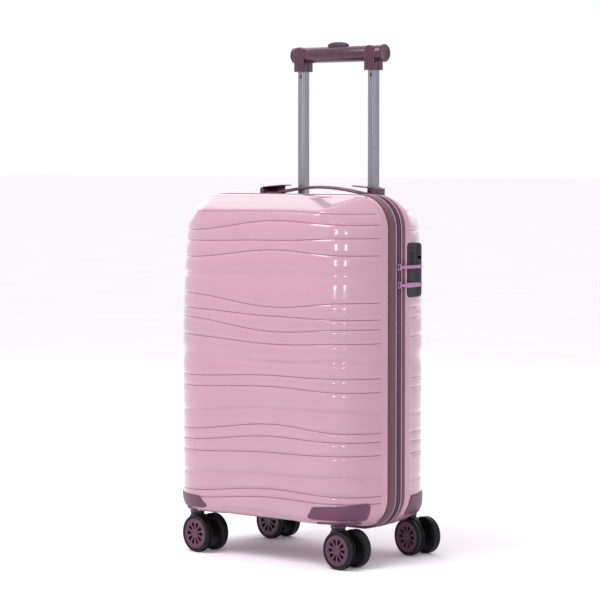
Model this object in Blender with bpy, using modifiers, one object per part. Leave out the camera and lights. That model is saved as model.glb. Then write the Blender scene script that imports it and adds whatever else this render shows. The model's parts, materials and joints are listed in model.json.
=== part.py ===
"""A cabin suitcase: two hard half shells joined by a zip, a two-stage trolley and four twin-wheel casters.

X is the width, +Y points to the back, +Z is up, and z = 0 is the floor under the wheels. Metres.
"""

import math

import bmesh
import bpy
from mathutils import Matrix, Vector

GAP = 0.0003  # between two pieces that touch

# The two half shells. Both rims have one outline, and each half rounds over to a smaller flat face.
HALF_WIDTH = 0.185
BOTTOM = 0.050
TOP = 0.541
CORNER_RADIUS = 0.050
SIDE_ROUND = 0.085  # how far the sides come in from rim to face
TOP_FALL = 0.0225  # how far the top slopes down towards the face
BOTTOM_RISE = 0.013  # how far the bottom slopes up
TOP_EDGE = 0.009  # how far the top and the bottom then turn over onto the face
BOTTOM_EDGE = 0.012
EDGE_START = 0.88  # share of the depth at which they turn over
TOP_CORNER_SMALLEST = 0.008
TOP_CORNER_FLAT = (0.135, 0.018)  # half the top's flat run at the rim, and how much it shrinks to the face
LOW_CORNER_SHRINK = 0.034
WALL = 0.0025
RIM_FLANGE = 0.004  # straight part of each half next to the rim
FRONT_RIM = -0.0320
REAR_RIM = 0.0100
FACE = 0.115
CORNER_STEPS = 6
ROUND_TURNS = [math.radians(a) for a in (0, 18, 36, 54, 62, 72, 90)]
LINING_TURNS = [math.radians(a) for a in (0, 30, 60, 90)]

# Fabric band and zip between the rims
BAND_WALL = 0.004
ZIP_LINE = -0.0063
FRONT_TAPE = (-0.0117, -0.0067)
REAR_TAPE = (-0.0059, -0.0013)
TAPE_WALL = 0.0022
TAPE_SINK = 0.002
SLIDER_HEIGHTS = {"upper": 0.436, "lower": 0.410}
SLIDER_BASE = 0.1835
SLIDER_TOP = 0.1862
SLIDER_HALF = (0.0055, 0.0042)  # half its length and half its width
POST_SPAN = (0.0021, 0.0037)  # where its two posts stand, from its middle
POST_HALF = 0.0017
PIN_RADIUS = 0.001
PIN_HALF = 0.003
EYE_RADIUS = 0.0026
PULL_THICK = (0.1886, 0.1900)
PULL_HALF = 0.0025
NECK_HALF = 0.0016
NECK_RUN = (0.0012, 0.0050)  # from the pin to inside the tab
PULL_PIN_X = 0.1892
PULL_END = 0.045

# Combination lock in the rear shell's right side
LOCK_Y = 0.0315
LOCK_Z = 0.431
LOCK_HALF = (0.0175, 0.040)
LOCK_CORNER = 0.006
LOCK_BACK = 0.1700
LOCK_FACE = 0.1868
DIAL_RADIUS = 0.0075
DIAL_WIDTH = 0.0054
DIAL_AXIS = (0.1798, 0.0245)
DIAL_PITCH = 0.007
DIAL_FIRST = 0.4395
RELEASE_LOW = Vector((0.1775, 0.0385, 0.4515))
RELEASE_HIGH = Vector((0.1876, 0.0455, 0.4665))
RELEASE_TRAVEL = 0.004

# Trolley
TUBE_X = 0.068
TUBE_Y = 0.086
INNER_TUBE = (0.00675, 0.00575, 0.298, 0.7415)  # half sizes in X and Y, low end, high end
MIDDLE_TUBE = (0.00805, 0.00705, 0.100, 0.530)
OUTER_TUBE = (0.00955, 0.00855, 0.0883, 0.5115)
TUBE_WALL = 0.0010
OUTER_WALL = 0.0012
TUBE_CORNER = 0.0034
BEZEL_LOW = Vector((-0.086, 0.073, 0.512))
BEZEL_HIGH = Vector((0.086, 0.099, 0.532))
GRIP_Z = 0.7535
GRIP_HALF = (0.0115, 0.0125)
GRIP_END = 0.0865
CAP_RADIUS = 0.0135
CAP_WIDTH = 0.0035
BOSS_HALF = (0.0097, 0.011)
BOSS_LOW = 0.728
BUTTON_HALF = (0.0193, 0.0048)
BUTTON_LOW = 0.7590
BUTTON_TOP = 0.7725
BUTTON_TRAVEL = 0.004
FOOT_LOW = Vector((-0.090, 0.0772, 0.0800))
FOOT_HIGH = Vector((0.090, 0.0950, 0.0880))

# Top carry handle
HANDLE_Y = 0.044
HANDLE_END = 0.104
HANDLE_HALF = (0.010, 0.002)
HANDLE_REST = 0.5422
HANDLE_RISE = 0.0113
HANDLE_ARCH = 0.080
MOUNT_LOW = Vector((0.080, 0.0315, 0.532))
MOUNT_HIGH = Vector((0.112, 0.0565, 0.5515))
MOUNT_ROOF = 0.002
MOUNT_CHEEK = 0.0021
MOUNT_END = 0.0035

# Wheel housings in the lower corners, and the wells under them
HOUSING_PROUD = 0.0015
HOUSING_IN = 0.1035
HOUSING_TOPS = {"front": 0.090, "rear": 0.098}
HOUSING_STARTS = {"front": 0.075, "rear": 0.0217}
WELL_IN = 0.090
WELL_START = 0.041
WELL_TOP = 0.0665
ROOF = (0.0620, 0.0645)

# Casters: the swivel axis, and the twin wheels trailing behind it
CASTER_X = 0.1362
CASTER_Y = 0.0871
CASTER_TURNS = {"front_left": -6.6, "front_right": -6.6, "rear_left": -6.6, "rear_right": -11.6}
TRAIL = 0.0181
WHEEL_RADIUS = 0.028
WHEEL_SIDES = 24
HUB_RADIUS = 0.0232
WHEEL_SPAN = (0.0104, 0.0227)  # from the caster's middle to a wheel's inner and outer side
AXLE_RADIUS = 0.0025
NECK_RADIUS = 0.011
STEM_RADIUS = 0.004
STEM_TOP = 0.0672
FORK_HALF = 0.0085

# Inside
LINING_WALL = 0.001
LINING_LOW = 0.070
LINING_INSET = 0.008
REAR_LINING = (0.166, 0.070, 0.508, 0.012, 0.0755)  # half width, low, high, front, back
DIVIDER = (0.165, 0.080, 0.500, -0.0300, -0.0290)
STRAP_Y = 0.0730
STRAP_WIDTH = 0.025

FINISHES = {
    "shell_pink": ((0.64, 0.37, 0.46), 0.22, 0.0),
    "band_fabric": ((0.145, 0.060, 0.080), 0.85, 0.0),
    "zip_fabric": ((0.230, 0.120, 0.170), 0.70, 0.0),
    "pull_metal": ((0.300, 0.160, 0.240), 0.35, 0.8),
    "plum_plastic": ((0.160, 0.055, 0.090), 0.40, 0.0),
    "lock_black": ((0.018, 0.020, 0.019), 0.45, 0.0),
    "tube_aluminium": ((0.42, 0.42, 0.45), 0.30, 1.0),
    "fork_black": ((0.020, 0.018, 0.020), 0.50, 0.0),
    "tyre_rubber": ((0.012, 0.012, 0.013), 0.65, 0.0),
    "lining_fabric": ((0.300, 0.200, 0.240), 0.90, 0.0),
    "strap_webbing": ((0.100, 0.045, 0.060), 0.85, 0.0),
}
MATERIALS = {}


def make_materials():
    for name, (colour, roughness, metallic) in FINISHES.items():
        material = bpy.data.materials.new(name)
        material.use_nodes = True
        shader = material.node_tree.nodes["Principled BSDF"]
        shader.inputs["Base Color"].default_value = (*colour, 1.0)
        shader.inputs["Roughness"].default_value = roughness
        shader.inputs["Metallic"].default_value = metallic
        MATERIALS[name] = material


def own_material(node, finish):
    """Each sub-part has a material of its own, copied from its finish."""
    material = MATERIALS[finish].copy()
    material.name = f"{node}_{finish}"
    return material


def add_part(name, mesh, finish, place=None):
    mesh = mesh.copy() if mesh.users else mesh
    mesh.materials.clear()
    mesh.materials.append(own_material(name, finish))
    mesh.shade_smooth()
    mesh.set_sharp_from_angle(angle=math.radians(32))
    part = bpy.data.objects.new(name, mesh)
    parts.objects.link(part)
    if place:
        part.matrix_world = place
    return part


def add_cutter(name, mesh):
    cutter = bpy.data.objects.new(name, mesh)
    cutters.objects.link(cutter)
    cutter.hide_render = True
    cutter.display_type = "WIRE"
    return cutter


def mesh_of(name, bm):
    bmesh.ops.recalc_face_normals(bm, faces=bm.faces)
    mesh = bpy.data.meshes.new(name)
    bm.to_mesh(mesh)
    bm.free()
    return mesh


def box_mesh(name, low, high):
    bm = bmesh.new()
    size = Vector(high) - Vector(low)
    middle = (Vector(high) + Vector(low)) / 2
    bmesh.ops.create_cube(bm, size=1, matrix=Matrix.Translation(middle) @ Matrix.Diagonal((*size, 1)))
    return mesh_of(name, bm)


def rod_mesh(name, radius, start, end, sides, axis="Z", centre=(0, 0, 0), squeeze=(1, 1)):
    """A round rod from start to end along an axis; squeeze scales its two radii."""
    turns = {"Z": Matrix(), "X": Matrix.Rotation(math.pi / 2, 4, "Y"), "Y": Matrix.Rotation(-math.pi / 2, 4, "X")}
    along = Vector({"X": (1, 0, 0), "Y": (0, 1, 0), "Z": (0, 0, 1)}[axis])
    middle = Vector(centre) + along * (start + end) / 2
    bm = bmesh.new()
    bmesh.ops.create_cone(
        bm, cap_ends=True, segments=sides, radius1=radius, radius2=radius, depth=end - start,
        matrix=Matrix.Translation(middle) @ turns[axis] @ Matrix.Diagonal((*squeeze, 1, 1)))
    return mesh_of(name, bm)


def rounded_outline(half_w, half_h, radius, steps, centre=(0.0, 0.0)):
    """Points of a rectangle with round corners, anticlockwise."""
    points = []
    for quarter, (sx, sy) in enumerate(((1, 1), (-1, 1), (-1, -1), (1, -1))):
        for step in range(steps + 1):
            turn = math.pi / 2 * (quarter + step / steps)
            points.append((centre[0] + sx * (half_w - radius) + radius * math.cos(turn),
                           centre[1] + sy * (half_h - radius) + radius * math.sin(turn)))
    return points


# A flat outline's own x and y become these two world axes, and it is extruded along the third.
OUTLINE_TURNS = {
    "Z": Matrix(),
    "Y": Matrix.Rotation(math.pi / 2, 4, "X"),
    "X": Matrix(((0, 0, 1, 0), (1, 0, 0, 0), (0, 1, 0, 0), (0, 0, 0, 1))),
}


def plate_mesh(name, outlines, start, end, axis):
    """A flat outline, with any holes in it, extruded from start to end along the axis."""
    curve = bpy.data.curves.new(name, "CURVE")
    curve.dimensions = "2D"
    curve.fill_mode = "BOTH"
    curve.extrude = abs(end - start) / 2
    for outline in outlines:
        spline = curve.splines.new("POLY")
        spline.points.add(len(outline) - 1)
        spline.use_cyclic_u = True
        for point, (x, y) in zip(spline.points, outline):
            point.co = (x, y, 0, 1)
    along = Vector({"X": (1, 0, 0), "Y": (0, 1, 0), "Z": (0, 0, 1)}[axis])
    return curve_to_mesh(name, curve, Matrix.Translation(along * (start + end) / 2) @ OUTLINE_TURNS[axis])


def curve_to_mesh(name, curve, place):
    guide = add_cutter(name + "_guide", curve)
    guide.matrix_world = place
    bpy.context.view_layer.update()
    mesh = bpy.data.meshes.new_from_object(guide.evaluated_get(bpy.context.evaluated_depsgraph_get()))
    mesh.name = name
    mesh.transform(place)
    bpy.data.objects.remove(guide)
    bm = bmesh.new()
    bm.from_mesh(mesh)
    bmesh.ops.remove_doubles(bm, verts=bm.verts, dist=1e-6)
    bmesh.ops.recalc_face_normals(bm, faces=bm.faces)
    bm.to_mesh(mesh)
    bm.free()
    return mesh


def combine(part, cutter, operation="DIFFERENCE"):
    boolean = part.modifiers.new(f"{operation.lower()}_{cutter.name}", "BOOLEAN")
    boolean.operation = operation
    boolean.solver = "EXACT"
    boolean.object = cutter
    return part


def baked(name, base, steps):
    """The mesh of a base shape after (operation, mesh) steps; the shapes used are removed."""
    helpers = [add_cutter(name + "_base", base)]
    for number, (operation, mesh) in enumerate(steps):
        helpers.append(add_cutter(f"{name}_{number}", mesh))
        combine(helpers[0], helpers[-1], operation)
    bpy.context.view_layer.update()
    graph = bpy.context.evaluated_depsgraph_get()
    mesh = bpy.data.meshes.new_from_object(helpers[0].evaluated_get(graph))
    mesh.name = name
    for helper in helpers:
        bpy.data.objects.remove(helper)
    return mesh


def bevel(part, width, segments=2):
    modifier = part.modifiers.new("rounded_edges", "BEVEL")
    modifier.width = width
    modifier.segments = segments
    modifier.limit_method = "ANGLE"
    modifier.angle_limit = math.radians(40)


def half_rings(half, grow=0.0, turns=ROUND_TURNS, lowest=0.0):
    """The sections of a half shell from its rim to its face; grow offsets them all outwards."""
    sign, rim = (-1, FRONT_RIM) if half == "front" else (1, REAR_RIM)
    start = rim + sign * RIM_FLANGE
    reach = sign * (FACE + grow) - start
    stations = [(0.0, rim)] + [(turn, start + reach * math.sin(turn)) for turn in turns]
    return [half_ring(turn, y, grow, lowest) for turn, y in stations]


def half_ring(turn, y, grow, lowest):
    """One section, at a turn from 0 at the rim to a right angle at the face."""
    share = math.sin(turn)
    over = max(share - EDGE_START, 0) / (1 - EDGE_START)
    fall = 1 - math.sqrt(max(1 - over * over, 0))
    low = max(BOTTOM + BOTTOM_RISE * share ** 1.2 + BOTTOM_EDGE * fall - grow, lowest)
    high = TOP - TOP_FALL * share ** 1.2 - TOP_EDGE * fall + grow
    width = HALF_WIDTH - SIDE_ROUND * (1 - math.cos(turn))
    flat, shrink = TOP_CORNER_FLAT
    top_radius = min(max(width - flat + shrink * share, TOP_CORNER_SMALLEST), CORNER_RADIUS)
    low_radius = CORNER_RADIUS - LOW_CORNER_SHRINK * share
    return [(x, y, z) for x, z in ring_outline(width + grow, low, high, low_radius + grow, top_radius + grow)]


def ring_outline(width, low, high, low_radius, top_radius):
    """Points of a rectangle whose upper and lower corners have their own radii, anticlockwise."""
    points = []
    for quarter, (side, up) in enumerate(((1, 1), (-1, 1), (-1, -1), (1, -1))):
        radius = max(top_radius if up > 0 else low_radius, GAP)
        edge = high if up > 0 else low
        for step in range(CORNER_STEPS + 1):
            turn = math.pi / 2 * (quarter + step / CORNER_STEPS)
            points.append((side * (width - radius) + radius * math.cos(turn),
                           edge - up * radius + radius * math.sin(turn)))
    return points


def loft_mesh(name, rings, close_first):
    """Skins a stack of like rings and closes the last one; closed at both ends it is a solid."""
    bm = bmesh.new()
    rows = [[bm.verts.new(point) for point in ring] for ring in rings]
    for row, following in zip(rows, rows[1:]):
        for i in range(len(row)):
            j = (i + 1) % len(row)
            bm.faces.new((row[i], row[j], following[j], following[i]))
    bm.faces.new(rows[-1])
    if close_first:
        bm.faces.new(reversed(rows[0]))
    bmesh.ops.recalc_face_normals(bm, faces=bm.faces)
    last = max(bm.faces, key=lambda face: abs(face.calc_center_median().y))
    if last.normal.y * last.calc_center_median().y < 0:
        bmesh.ops.reverse_faces(bm, faces=bm.faces)
    mesh = bpy.data.meshes.new(name)
    bm.to_mesh(mesh)
    bm.free()
    return mesh


def filled_half(name, half, grow):
    """The outer shape of a half as a cutter, grown or shrunk all over."""
    return add_cutter(name, loft_mesh(name, half_rings(half, grow), True))


def thicken(part, wall):
    solidify = part.modifiers.new("wall", "SOLIDIFY")
    solidify.thickness = wall
    solidify.offset = -1
    solidify.use_even_offset = True


def make_shell(half):
    shell = add_part(half + "_shell", loft_mesh(half + "_shell", half_rings(half), False), "shell_pink")
    thicken(shell, WALL)
    for side in ("left", "right"):
        combine(shell, corner_block(half, side, GAP))
    return shell


def corner_block(half, side, grow):
    """The space of one wheel housing: the corner that shows, and a wider well under it."""
    hand = 1 if side == "right" else -1
    sign = -1 if half == "front" else 1
    beyond = 0.2
    steps = []
    spans = ((HOUSING_IN, HOUSING_STARTS[half], HOUSING_TOPS[half]), (WELL_IN, WELL_START, WELL_TOP))
    for inner, start, top in spans:
        xs = sorted((hand * (inner - grow), hand * beyond))
        ys = sorted((sign * (start - grow), sign * beyond))
        steps.append(box_mesh("block", (xs[0], ys[0], 0.02), (xs[1], ys[1], top + grow)))
    name = f"{half}_{side}_block" + ("_cut" if grow else "")
    return add_cutter(name, baked(name, steps[0], [("UNION", steps[1])]))


def make_housing(half, side, cavity):
    hand = 1 if side == "right" else -1
    sign = -1 if half == "front" else 1
    name = f"wheel_housing_{half}_{side}"
    housing = add_part(name, loft_mesh(name, half_rings(half, HOUSING_PROUD), True), "plum_plastic")
    combine(housing, corner_block(half, side, 0), "INTERSECT")
    combine(housing, cavity)
    xs = sorted((hand * (WELL_IN + WALL), hand * 0.2))
    ys = sorted((sign * (WELL_START + WALL), sign * 0.2))
    well = box_mesh(name + "_well", (xs[0], ys[0], 0.01), (xs[1], ys[1], ROOF[0]))
    combine(housing, add_cutter(name + "_well", well))
    hole = rod_mesh(name + "_hole", STEM_RADIUS + GAP, 0.055, 0.075, 16, "Z", (hand * CASTER_X, sign * CASTER_Y, 0))
    combine(housing, add_cutter(name + "_hole", hole))


def make_cavity(half):
    """The inside of a half above the wheel wells' roofs."""
    cavity = filled_half(half + "_cavity", half, -HOUSING_PROUD)
    slab = add_cutter(half + "_above_roof", box_mesh("above", (-0.3, -0.3, ROOF[1]), (0.3, 0.3, 0.8)))
    return combine(cavity, slab, "INTERSECT")


def band_mesh(name, start, end, outer_inset, wall):
    """A ring with the rims' outline, inset by a little and as thick as its wall."""
    outlines = []
    for inset in (outer_inset, outer_inset + wall):
        outlines.append(rounded_outline(HALF_WIDTH - inset, (TOP - BOTTOM) / 2 - inset, CORNER_RADIUS - inset,
                                        CORNER_STEPS, (0, (TOP + BOTTOM) / 2)))
    return plate_mesh(name, outlines, start, end, "Y")


def make_band():
    add_part("front_gusset", band_mesh("front_gusset", FRONT_RIM + GAP, FRONT_TAPE[0] - GAP, 0, BAND_WALL),
             "band_fabric")
    add_part("rear_gusset", band_mesh("rear_gusset", REAR_TAPE[1] + GAP, REAR_RIM - GAP, 0, BAND_WALL),
             "band_fabric")
    add_part("front_zip_tape", band_mesh("front_zip_tape", *FRONT_TAPE, TAPE_SINK, TAPE_WALL), "zip_fabric")
    add_part("rear_zip_tape", band_mesh("rear_zip_tape", *REAR_TAPE, TAPE_SINK, TAPE_WALL), "zip_fabric")


def make_zip_slider(which):
    """A slider on the right-hand run of the zip, and its pull tab, which turns on a pin along Z."""
    z = SLIDER_HEIGHTS[which]
    half_length, half_width = SLIDER_HALF
    base = box_mesh("base", (SLIDER_BASE, ZIP_LINE - half_width, z - half_length),
                    (SLIDER_TOP, ZIP_LINE + half_width, z + half_length))
    steps = []
    for end in (-1, 1):
        low, high = sorted(z + end * offset for offset in POST_SPAN)
        steps.append(("UNION", box_mesh("post", (SLIDER_TOP - PIN_RADIUS, ZIP_LINE - POST_HALF, low),
                                        (PULL_PIN_X + PIN_RADIUS + GAP, ZIP_LINE + POST_HALF, high))))
    pin = rod_mesh("pin", PIN_RADIUS, z - PIN_HALF, z + PIN_HALF, 10, "Z", (PULL_PIN_X, ZIP_LINE, 0))
    steps.append(("UNION", pin))
    add_part(f"zip_slider_{which}", baked("zip_slider", base, steps), "pull_metal")

    back, front = PULL_THICK
    inner, outer = (ZIP_LINE + run for run in NECK_RUN)
    eye = rod_mesh("eye", EYE_RADIUS, z - POST_HALF, z + POST_HALF, 14, "Z", (PULL_PIN_X, ZIP_LINE, 0))
    neck = box_mesh("neck", (back - GAP / 3, inner, z - NECK_HALF), (front + GAP / 3, outer, z + NECK_HALF))
    tab = box_mesh("tab", (back, outer - 2 * GAP, z - PULL_HALF), (front, PULL_END, z + PULL_HALF))
    bore = rod_mesh("bore", PIN_RADIUS + GAP, z - 0.004, z + 0.004, 12, "Z", (PULL_PIN_X, ZIP_LINE, 0))
    mesh = baked("zip_pull", eye, [("UNION", neck), ("UNION", tab), ("DIFFERENCE", bore)])
    mesh.transform(Matrix.Translation((-PULL_PIN_X, -ZIP_LINE, -z)))
    add_part(f"zip_pull_{which}", mesh, "pull_metal", Matrix.Translation((PULL_PIN_X, ZIP_LINE, z)))


def lock_outline(grow):
    return rounded_outline(LOCK_HALF[0] + grow, LOCK_HALF[1] + grow, LOCK_CORNER + grow, 4, (LOCK_Y, LOCK_Z))


def make_lock(rear_shell):
    opening = add_cutter("lock_opening", plate_mesh("lock_opening", [lock_outline(GAP)], 0.150, 0.200, "X"))
    combine(rear_shell, opening)
    steps = []
    heights = [DIAL_FIRST + i * DIAL_PITCH for i in range(3)]
    for z in heights:
        half = DIAL_WIDTH / 2 + GAP
        steps.append(("DIFFERENCE", rod_mesh("window", DIAL_RADIUS + 0.0004, z - half, z + half, 20, "Z",
                                             (*DIAL_AXIS, 0))))
    slot_low = RELEASE_LOW - Vector((0.0005, GAP, RELEASE_TRAVEL + GAP))
    slot_high = RELEASE_HIGH + Vector((0.01, GAP, GAP))
    steps.append(("DIFFERENCE", box_mesh("slot", slot_low, slot_high)))
    body = plate_mesh("lock_body", [lock_outline(0)], LOCK_BACK, LOCK_FACE, "X")
    add_part("lock_body", baked("lock_body", body, steps), "lock_black")
    for number, z in enumerate(heights, 1):
        dial = rod_mesh("lock_dial", DIAL_RADIUS, -DIAL_WIDTH / 2, DIAL_WIDTH / 2, 20)
        add_part(f"lock_dial_{number}", dial, "lock_black", Matrix.Translation((*DIAL_AXIS, z)))
    add_part("lock_release", box_mesh("lock_release", RELEASE_LOW, RELEASE_HIGH), "lock_black")


def tube_mesh(name, half_x, half_y, low, high, wall, centre):
    outlines = [rounded_outline(half_x, half_y, TUBE_CORNER, 2, centre)]
    outlines.append(rounded_outline(half_x - wall, half_y - wall, TUBE_CORNER - wall, 2, centre))
    return plate_mesh(name, outlines, low, high, "Z")


def make_trolley(rear_shell):
    opening = box_mesh("bezel_opening", BEZEL_LOW - Vector((GAP, GAP, 0.01)), BEZEL_HIGH + Vector((GAP, GAP, 0.01)))
    combine(rear_shell, add_cutter("bezel_opening", opening))
    bezel = add_part("trolley_bezel", box_mesh("trolley_bezel", BEZEL_LOW, BEZEL_HIGH), "plum_plastic")
    bevel(bezel, 0.002)
    half_x = OUTER_TUBE[0] - OUTER_WALL
    half_y = OUTER_TUBE[1] - OUTER_WALL
    for side, hand in (("left", -1), ("right", 1)):
        centre = (hand * TUBE_X, TUBE_Y)
        hole = plate_mesh("tube_hole", [rounded_outline(half_x, half_y, 0.0025, 2, centre)], 0.50, 0.55, "Z")
        combine(bezel, add_cutter(f"tube_hole_{side}", hole))
        add_part(f"outer_tube_{side}", tube_mesh("outer_tube", *OUTER_TUBE, OUTER_WALL, centre), "tube_aluminium")
        add_part(f"middle_tube_{side}", tube_mesh("middle_tube", *MIDDLE_TUBE, TUBE_WALL, centre), "tube_aluminium")
        add_part(f"inner_tube_{side}", tube_mesh("inner_tube", *INNER_TUBE, TUBE_WALL, centre), "tube_aluminium")
        start, end = sorted((hand * (GRIP_END + GAP), hand * (GRIP_END + CAP_WIDTH)))
        cap = rod_mesh("grip_cap", CAP_RADIUS, start, end, 24, "X", (0, TUBE_Y, GRIP_Z))
        bevel(add_part(f"grip_cap_{side}", cap, "plum_plastic"), 0.001, 1)
    foot = box_mesh("trolley_foot", FOOT_LOW, FOOT_HIGH)
    bevel(add_part("trolley_foot", foot, "plum_plastic"), 0.0015, 1)


def make_grip():
    """The handlebar: an oval bar, a boss over each tube, and a pocket for the release button."""
    bar = rod_mesh("bar", 1.0, -GRIP_END, GRIP_END, 24, "X", (0, TUBE_Y, GRIP_Z), (GRIP_HALF[1], GRIP_HALF[0]))
    steps = []
    for hand in (-1, 1):
        centre = (hand * TUBE_X, TUBE_Y)
        boss = plate_mesh("boss", [rounded_outline(*BOSS_HALF, 0.004, 3, centre)], BOSS_LOW, GRIP_Z + 0.004, "Z")
        steps.append(("UNION", boss))
    for hand in (-1, 1):
        centre = (hand * TUBE_X, TUBE_Y)
        outline = rounded_outline(INNER_TUBE[0] + GAP, INNER_TUBE[1] + GAP, TUBE_CORNER, 2, centre)
        steps.append(("DIFFERENCE", plate_mesh("socket", [outline], BOSS_LOW - 0.01, INNER_TUBE[3] + GAP, "Z")))
    half_x, half_y = BUTTON_HALF[0] + GAP, BUTTON_HALF[1] + GAP
    pocket = box_mesh("pocket", (-half_x, TUBE_Y - half_y, BUTTON_LOW - BUTTON_TRAVEL - 0.0005),
                      (half_x, TUBE_Y + half_y, BUTTON_TOP + 0.01))
    steps.append(("DIFFERENCE", pocket))
    add_part("trolley_grip", baked("trolley_grip", bar, steps), "plum_plastic")
    button = box_mesh("trolley_button", (-BUTTON_HALF[0], TUBE_Y - BUTTON_HALF[1], BUTTON_LOW),
                      (BUTTON_HALF[0], TUBE_Y + BUTTON_HALF[1], BUTTON_TOP))
    bevel(add_part("trolley_button", button, "plum_plastic"), 0.002)


def handle_height(x):
    reach = min(abs(x) / HANDLE_ARCH, 1)
    return HANDLE_REST + HANDLE_RISE * math.cos(math.pi / 2 * reach) ** 2


def make_handle():
    """A bowed strap whose flat ends sit in two pockets, with room to be pulled up."""
    curve = bpy.data.curves.new("carry_handle", "CURVE")
    curve.dimensions = "3D"
    curve.twist_mode = "Z_UP"
    section = bpy.data.curves.new("handle_section", "CURVE")
    section.dimensions = "2D"
    outline = section.splines.new("POLY")
    corners = rounded_outline(HANDLE_HALF[0], HANDLE_HALF[1], 0.0012, 2)
    outline.points.add(len(corners) - 1)
    outline.use_cyclic_u = True
    for point, (x, y) in zip(outline.points, corners):
        point.co = (x, y, 0, 1)
    guide = add_cutter("handle_section", section)
    curve.bevel_mode = "OBJECT"
    curve.bevel_object = guide
    curve.use_fill_caps = True
    stations = [HANDLE_END * (i / 11) for i in range(-11, 12)]
    path = curve.splines.new("POLY")
    path.points.add(len(stations) - 1)
    for point, x in zip(path.points, stations):
        point.co = (x, HANDLE_Y, handle_height(x), 1)
    mesh = curve_to_mesh("carry_handle", curve, Matrix())
    bpy.data.objects.remove(guide)
    add_part("carry_handle", mesh, "plum_plastic")


def make_handle_mounts(seat):
    for side, hand in (("left", -1), ("right", 1)):
        xs = sorted((hand * MOUNT_LOW.x, hand * MOUNT_HIGH.x))
        block = box_mesh("handle_mount", (xs[0], MOUNT_LOW.y, MOUNT_LOW.z), (xs[1], MOUNT_HIGH.y, MOUNT_HIGH.z))
        mount = add_part(f"handle_mount_{side}", block, "plum_plastic")
        bevel(mount, 0.002)
        combine(mount, seat)
        xs = sorted((hand * (MOUNT_LOW.x - 0.01), hand * (MOUNT_HIGH.x - MOUNT_END)))
        pocket = box_mesh("pocket", (xs[0], MOUNT_LOW.y + MOUNT_CHEEK, MOUNT_LOW.z - 0.01),
                          (xs[1], MOUNT_HIGH.y - MOUNT_CHEEK, MOUNT_HIGH.z - MOUNT_ROOF))
        combine(mount, add_cutter(f"handle_pocket_{side}", pocket))


def fork_mesh():
    """The swivel part about its own axis: stem, neck, a core between the wheels, and the axle."""
    neck_centre, axle_height, core_radius = (0.0, 0.0500), WHEEL_RADIUS, 0.0105
    dx, dz = TRAIL - neck_centre[0], axle_height - neck_centre[1]
    lean = math.atan2(dz, dx)
    outline = []
    for end, (x, z) in enumerate(((TRAIL, axle_height), neck_centre)):
        for step in range(9):
            turn = lean + math.pi * (end + step / 8) - math.pi / 2
            outline.append((x + core_radius * math.cos(turn), z + core_radius * math.sin(turn)))
    core = plate_mesh("core", [outline], -FORK_HALF, FORK_HALF, "Y")
    neck = rod_mesh("neck", NECK_RADIUS, 0.0500, ROOF[0] - GAP, 20)
    stem = rod_mesh("stem", STEM_RADIUS, 0.0550, STEM_TOP, 16)
    axle = rod_mesh("axle", AXLE_RADIUS, -WHEEL_SPAN[1] + 0.001, WHEEL_SPAN[1] - 0.001, 12, "Y", (TRAIL, 0, axle_height))
    return baked("caster_fork", core, [("UNION", neck), ("UNION", stem), ("UNION", axle)])


def turned_mesh(name, profile):
    """Turns a closed profile of (radius, along) points about the Y axis, with a flat side down."""
    bm = bmesh.new()
    points = [bm.verts.new((radius, 0, along)) for radius, along in profile]
    for first, second in zip(points, points[1:] + points[:1]):
        bm.edges.new((first, second))
    mesh = bpy.data.meshes.new(name)
    bm.to_mesh(mesh)
    bm.free()
    helper = add_cutter(name + "_profile", mesh)
    screw = helper.modifiers.new("turn", "SCREW")
    screw.steps = screw.render_steps = WHEEL_SIDES
    screw.use_merge_vertices = True
    screw.merge_threshold = 1e-5
    bpy.context.view_layer.update()
    turned = bpy.data.meshes.new_from_object(helper.evaluated_get(bpy.context.evaluated_depsgraph_get()))
    bpy.data.objects.remove(helper)
    bm = bmesh.new()
    bm.from_mesh(turned)
    bmesh.ops.recalc_face_normals(bm, faces=bm.faces)
    bm.to_mesh(turned)
    bm.free()
    half_side = Matrix.Rotation(math.pi / WHEEL_SIDES, 4, "Y")
    turned.transform(half_side @ Matrix.Rotation(-math.pi / 2, 4, "X"))
    turned.name = name
    return turned


def wheel_meshes():
    """Tyre and hub about the Y axis, their outer side towards +Y, at the wheel's own middle."""
    half = (WHEEL_SPAN[1] - WHEEL_SPAN[0]) / 2
    rim = WHEEL_RADIUS / math.cos(math.pi / WHEEL_SIDES)
    seat = HUB_RADIUS + GAP
    tyre = [(seat, -half), (rim - 0.0025, -half), (rim - 0.0006, -half + 0.0018), (rim, -half + 0.0042),
            (rim, half - 0.0042), (rim - 0.0006, half - 0.0018), (rim - 0.0025, half), (seat, half)]
    bore = AXLE_RADIUS + 0.00015
    hub = [(bore, -half), (0.008, -half), (HUB_RADIUS, -half + 0.0008), (HUB_RADIUS, half - 0.0006),
           (HUB_RADIUS - 0.0035, half - 0.0006), (0.007, half - 0.0030), (bore, half - 0.0030)]
    return turned_mesh("tyre", tyre), turned_mesh("hub", hub)


def make_casters():
    fork = fork_mesh()
    tyre, hub = wheel_meshes()
    middle = (WHEEL_SPAN[0] + WHEEL_SPAN[1]) / 2
    for corner, degrees in CASTER_TURNS.items():
        hand = 1 if corner.endswith("right") else -1
        sign = -1 if corner.startswith("front") else 1
        axis = bpy.data.objects.new(f"swivel_{corner}", None)
        parts.objects.link(axis)
        axis.location = (hand * CASTER_X, sign * CASTER_Y, 0)
        axis.rotation_euler.z = math.radians(degrees)
        bpy.context.view_layer.update()
        add_part(f"caster_fork_{corner}", fork, "fork_black", axis.matrix_world)
        for label, facing in (("a", -1), ("b", 1)):
            place = axis.matrix_world @ Matrix.Translation((TRAIL, facing * middle, WHEEL_RADIUS))
            if facing < 0:
                place = place @ Matrix.Rotation(math.pi, 4, "Z")
            add_part(f"tyre_{corner}_{label}", tyre, "tyre_rubber", place)
            add_part(f"hub_{corner}_{label}", hub, "plum_plastic", place)


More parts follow.
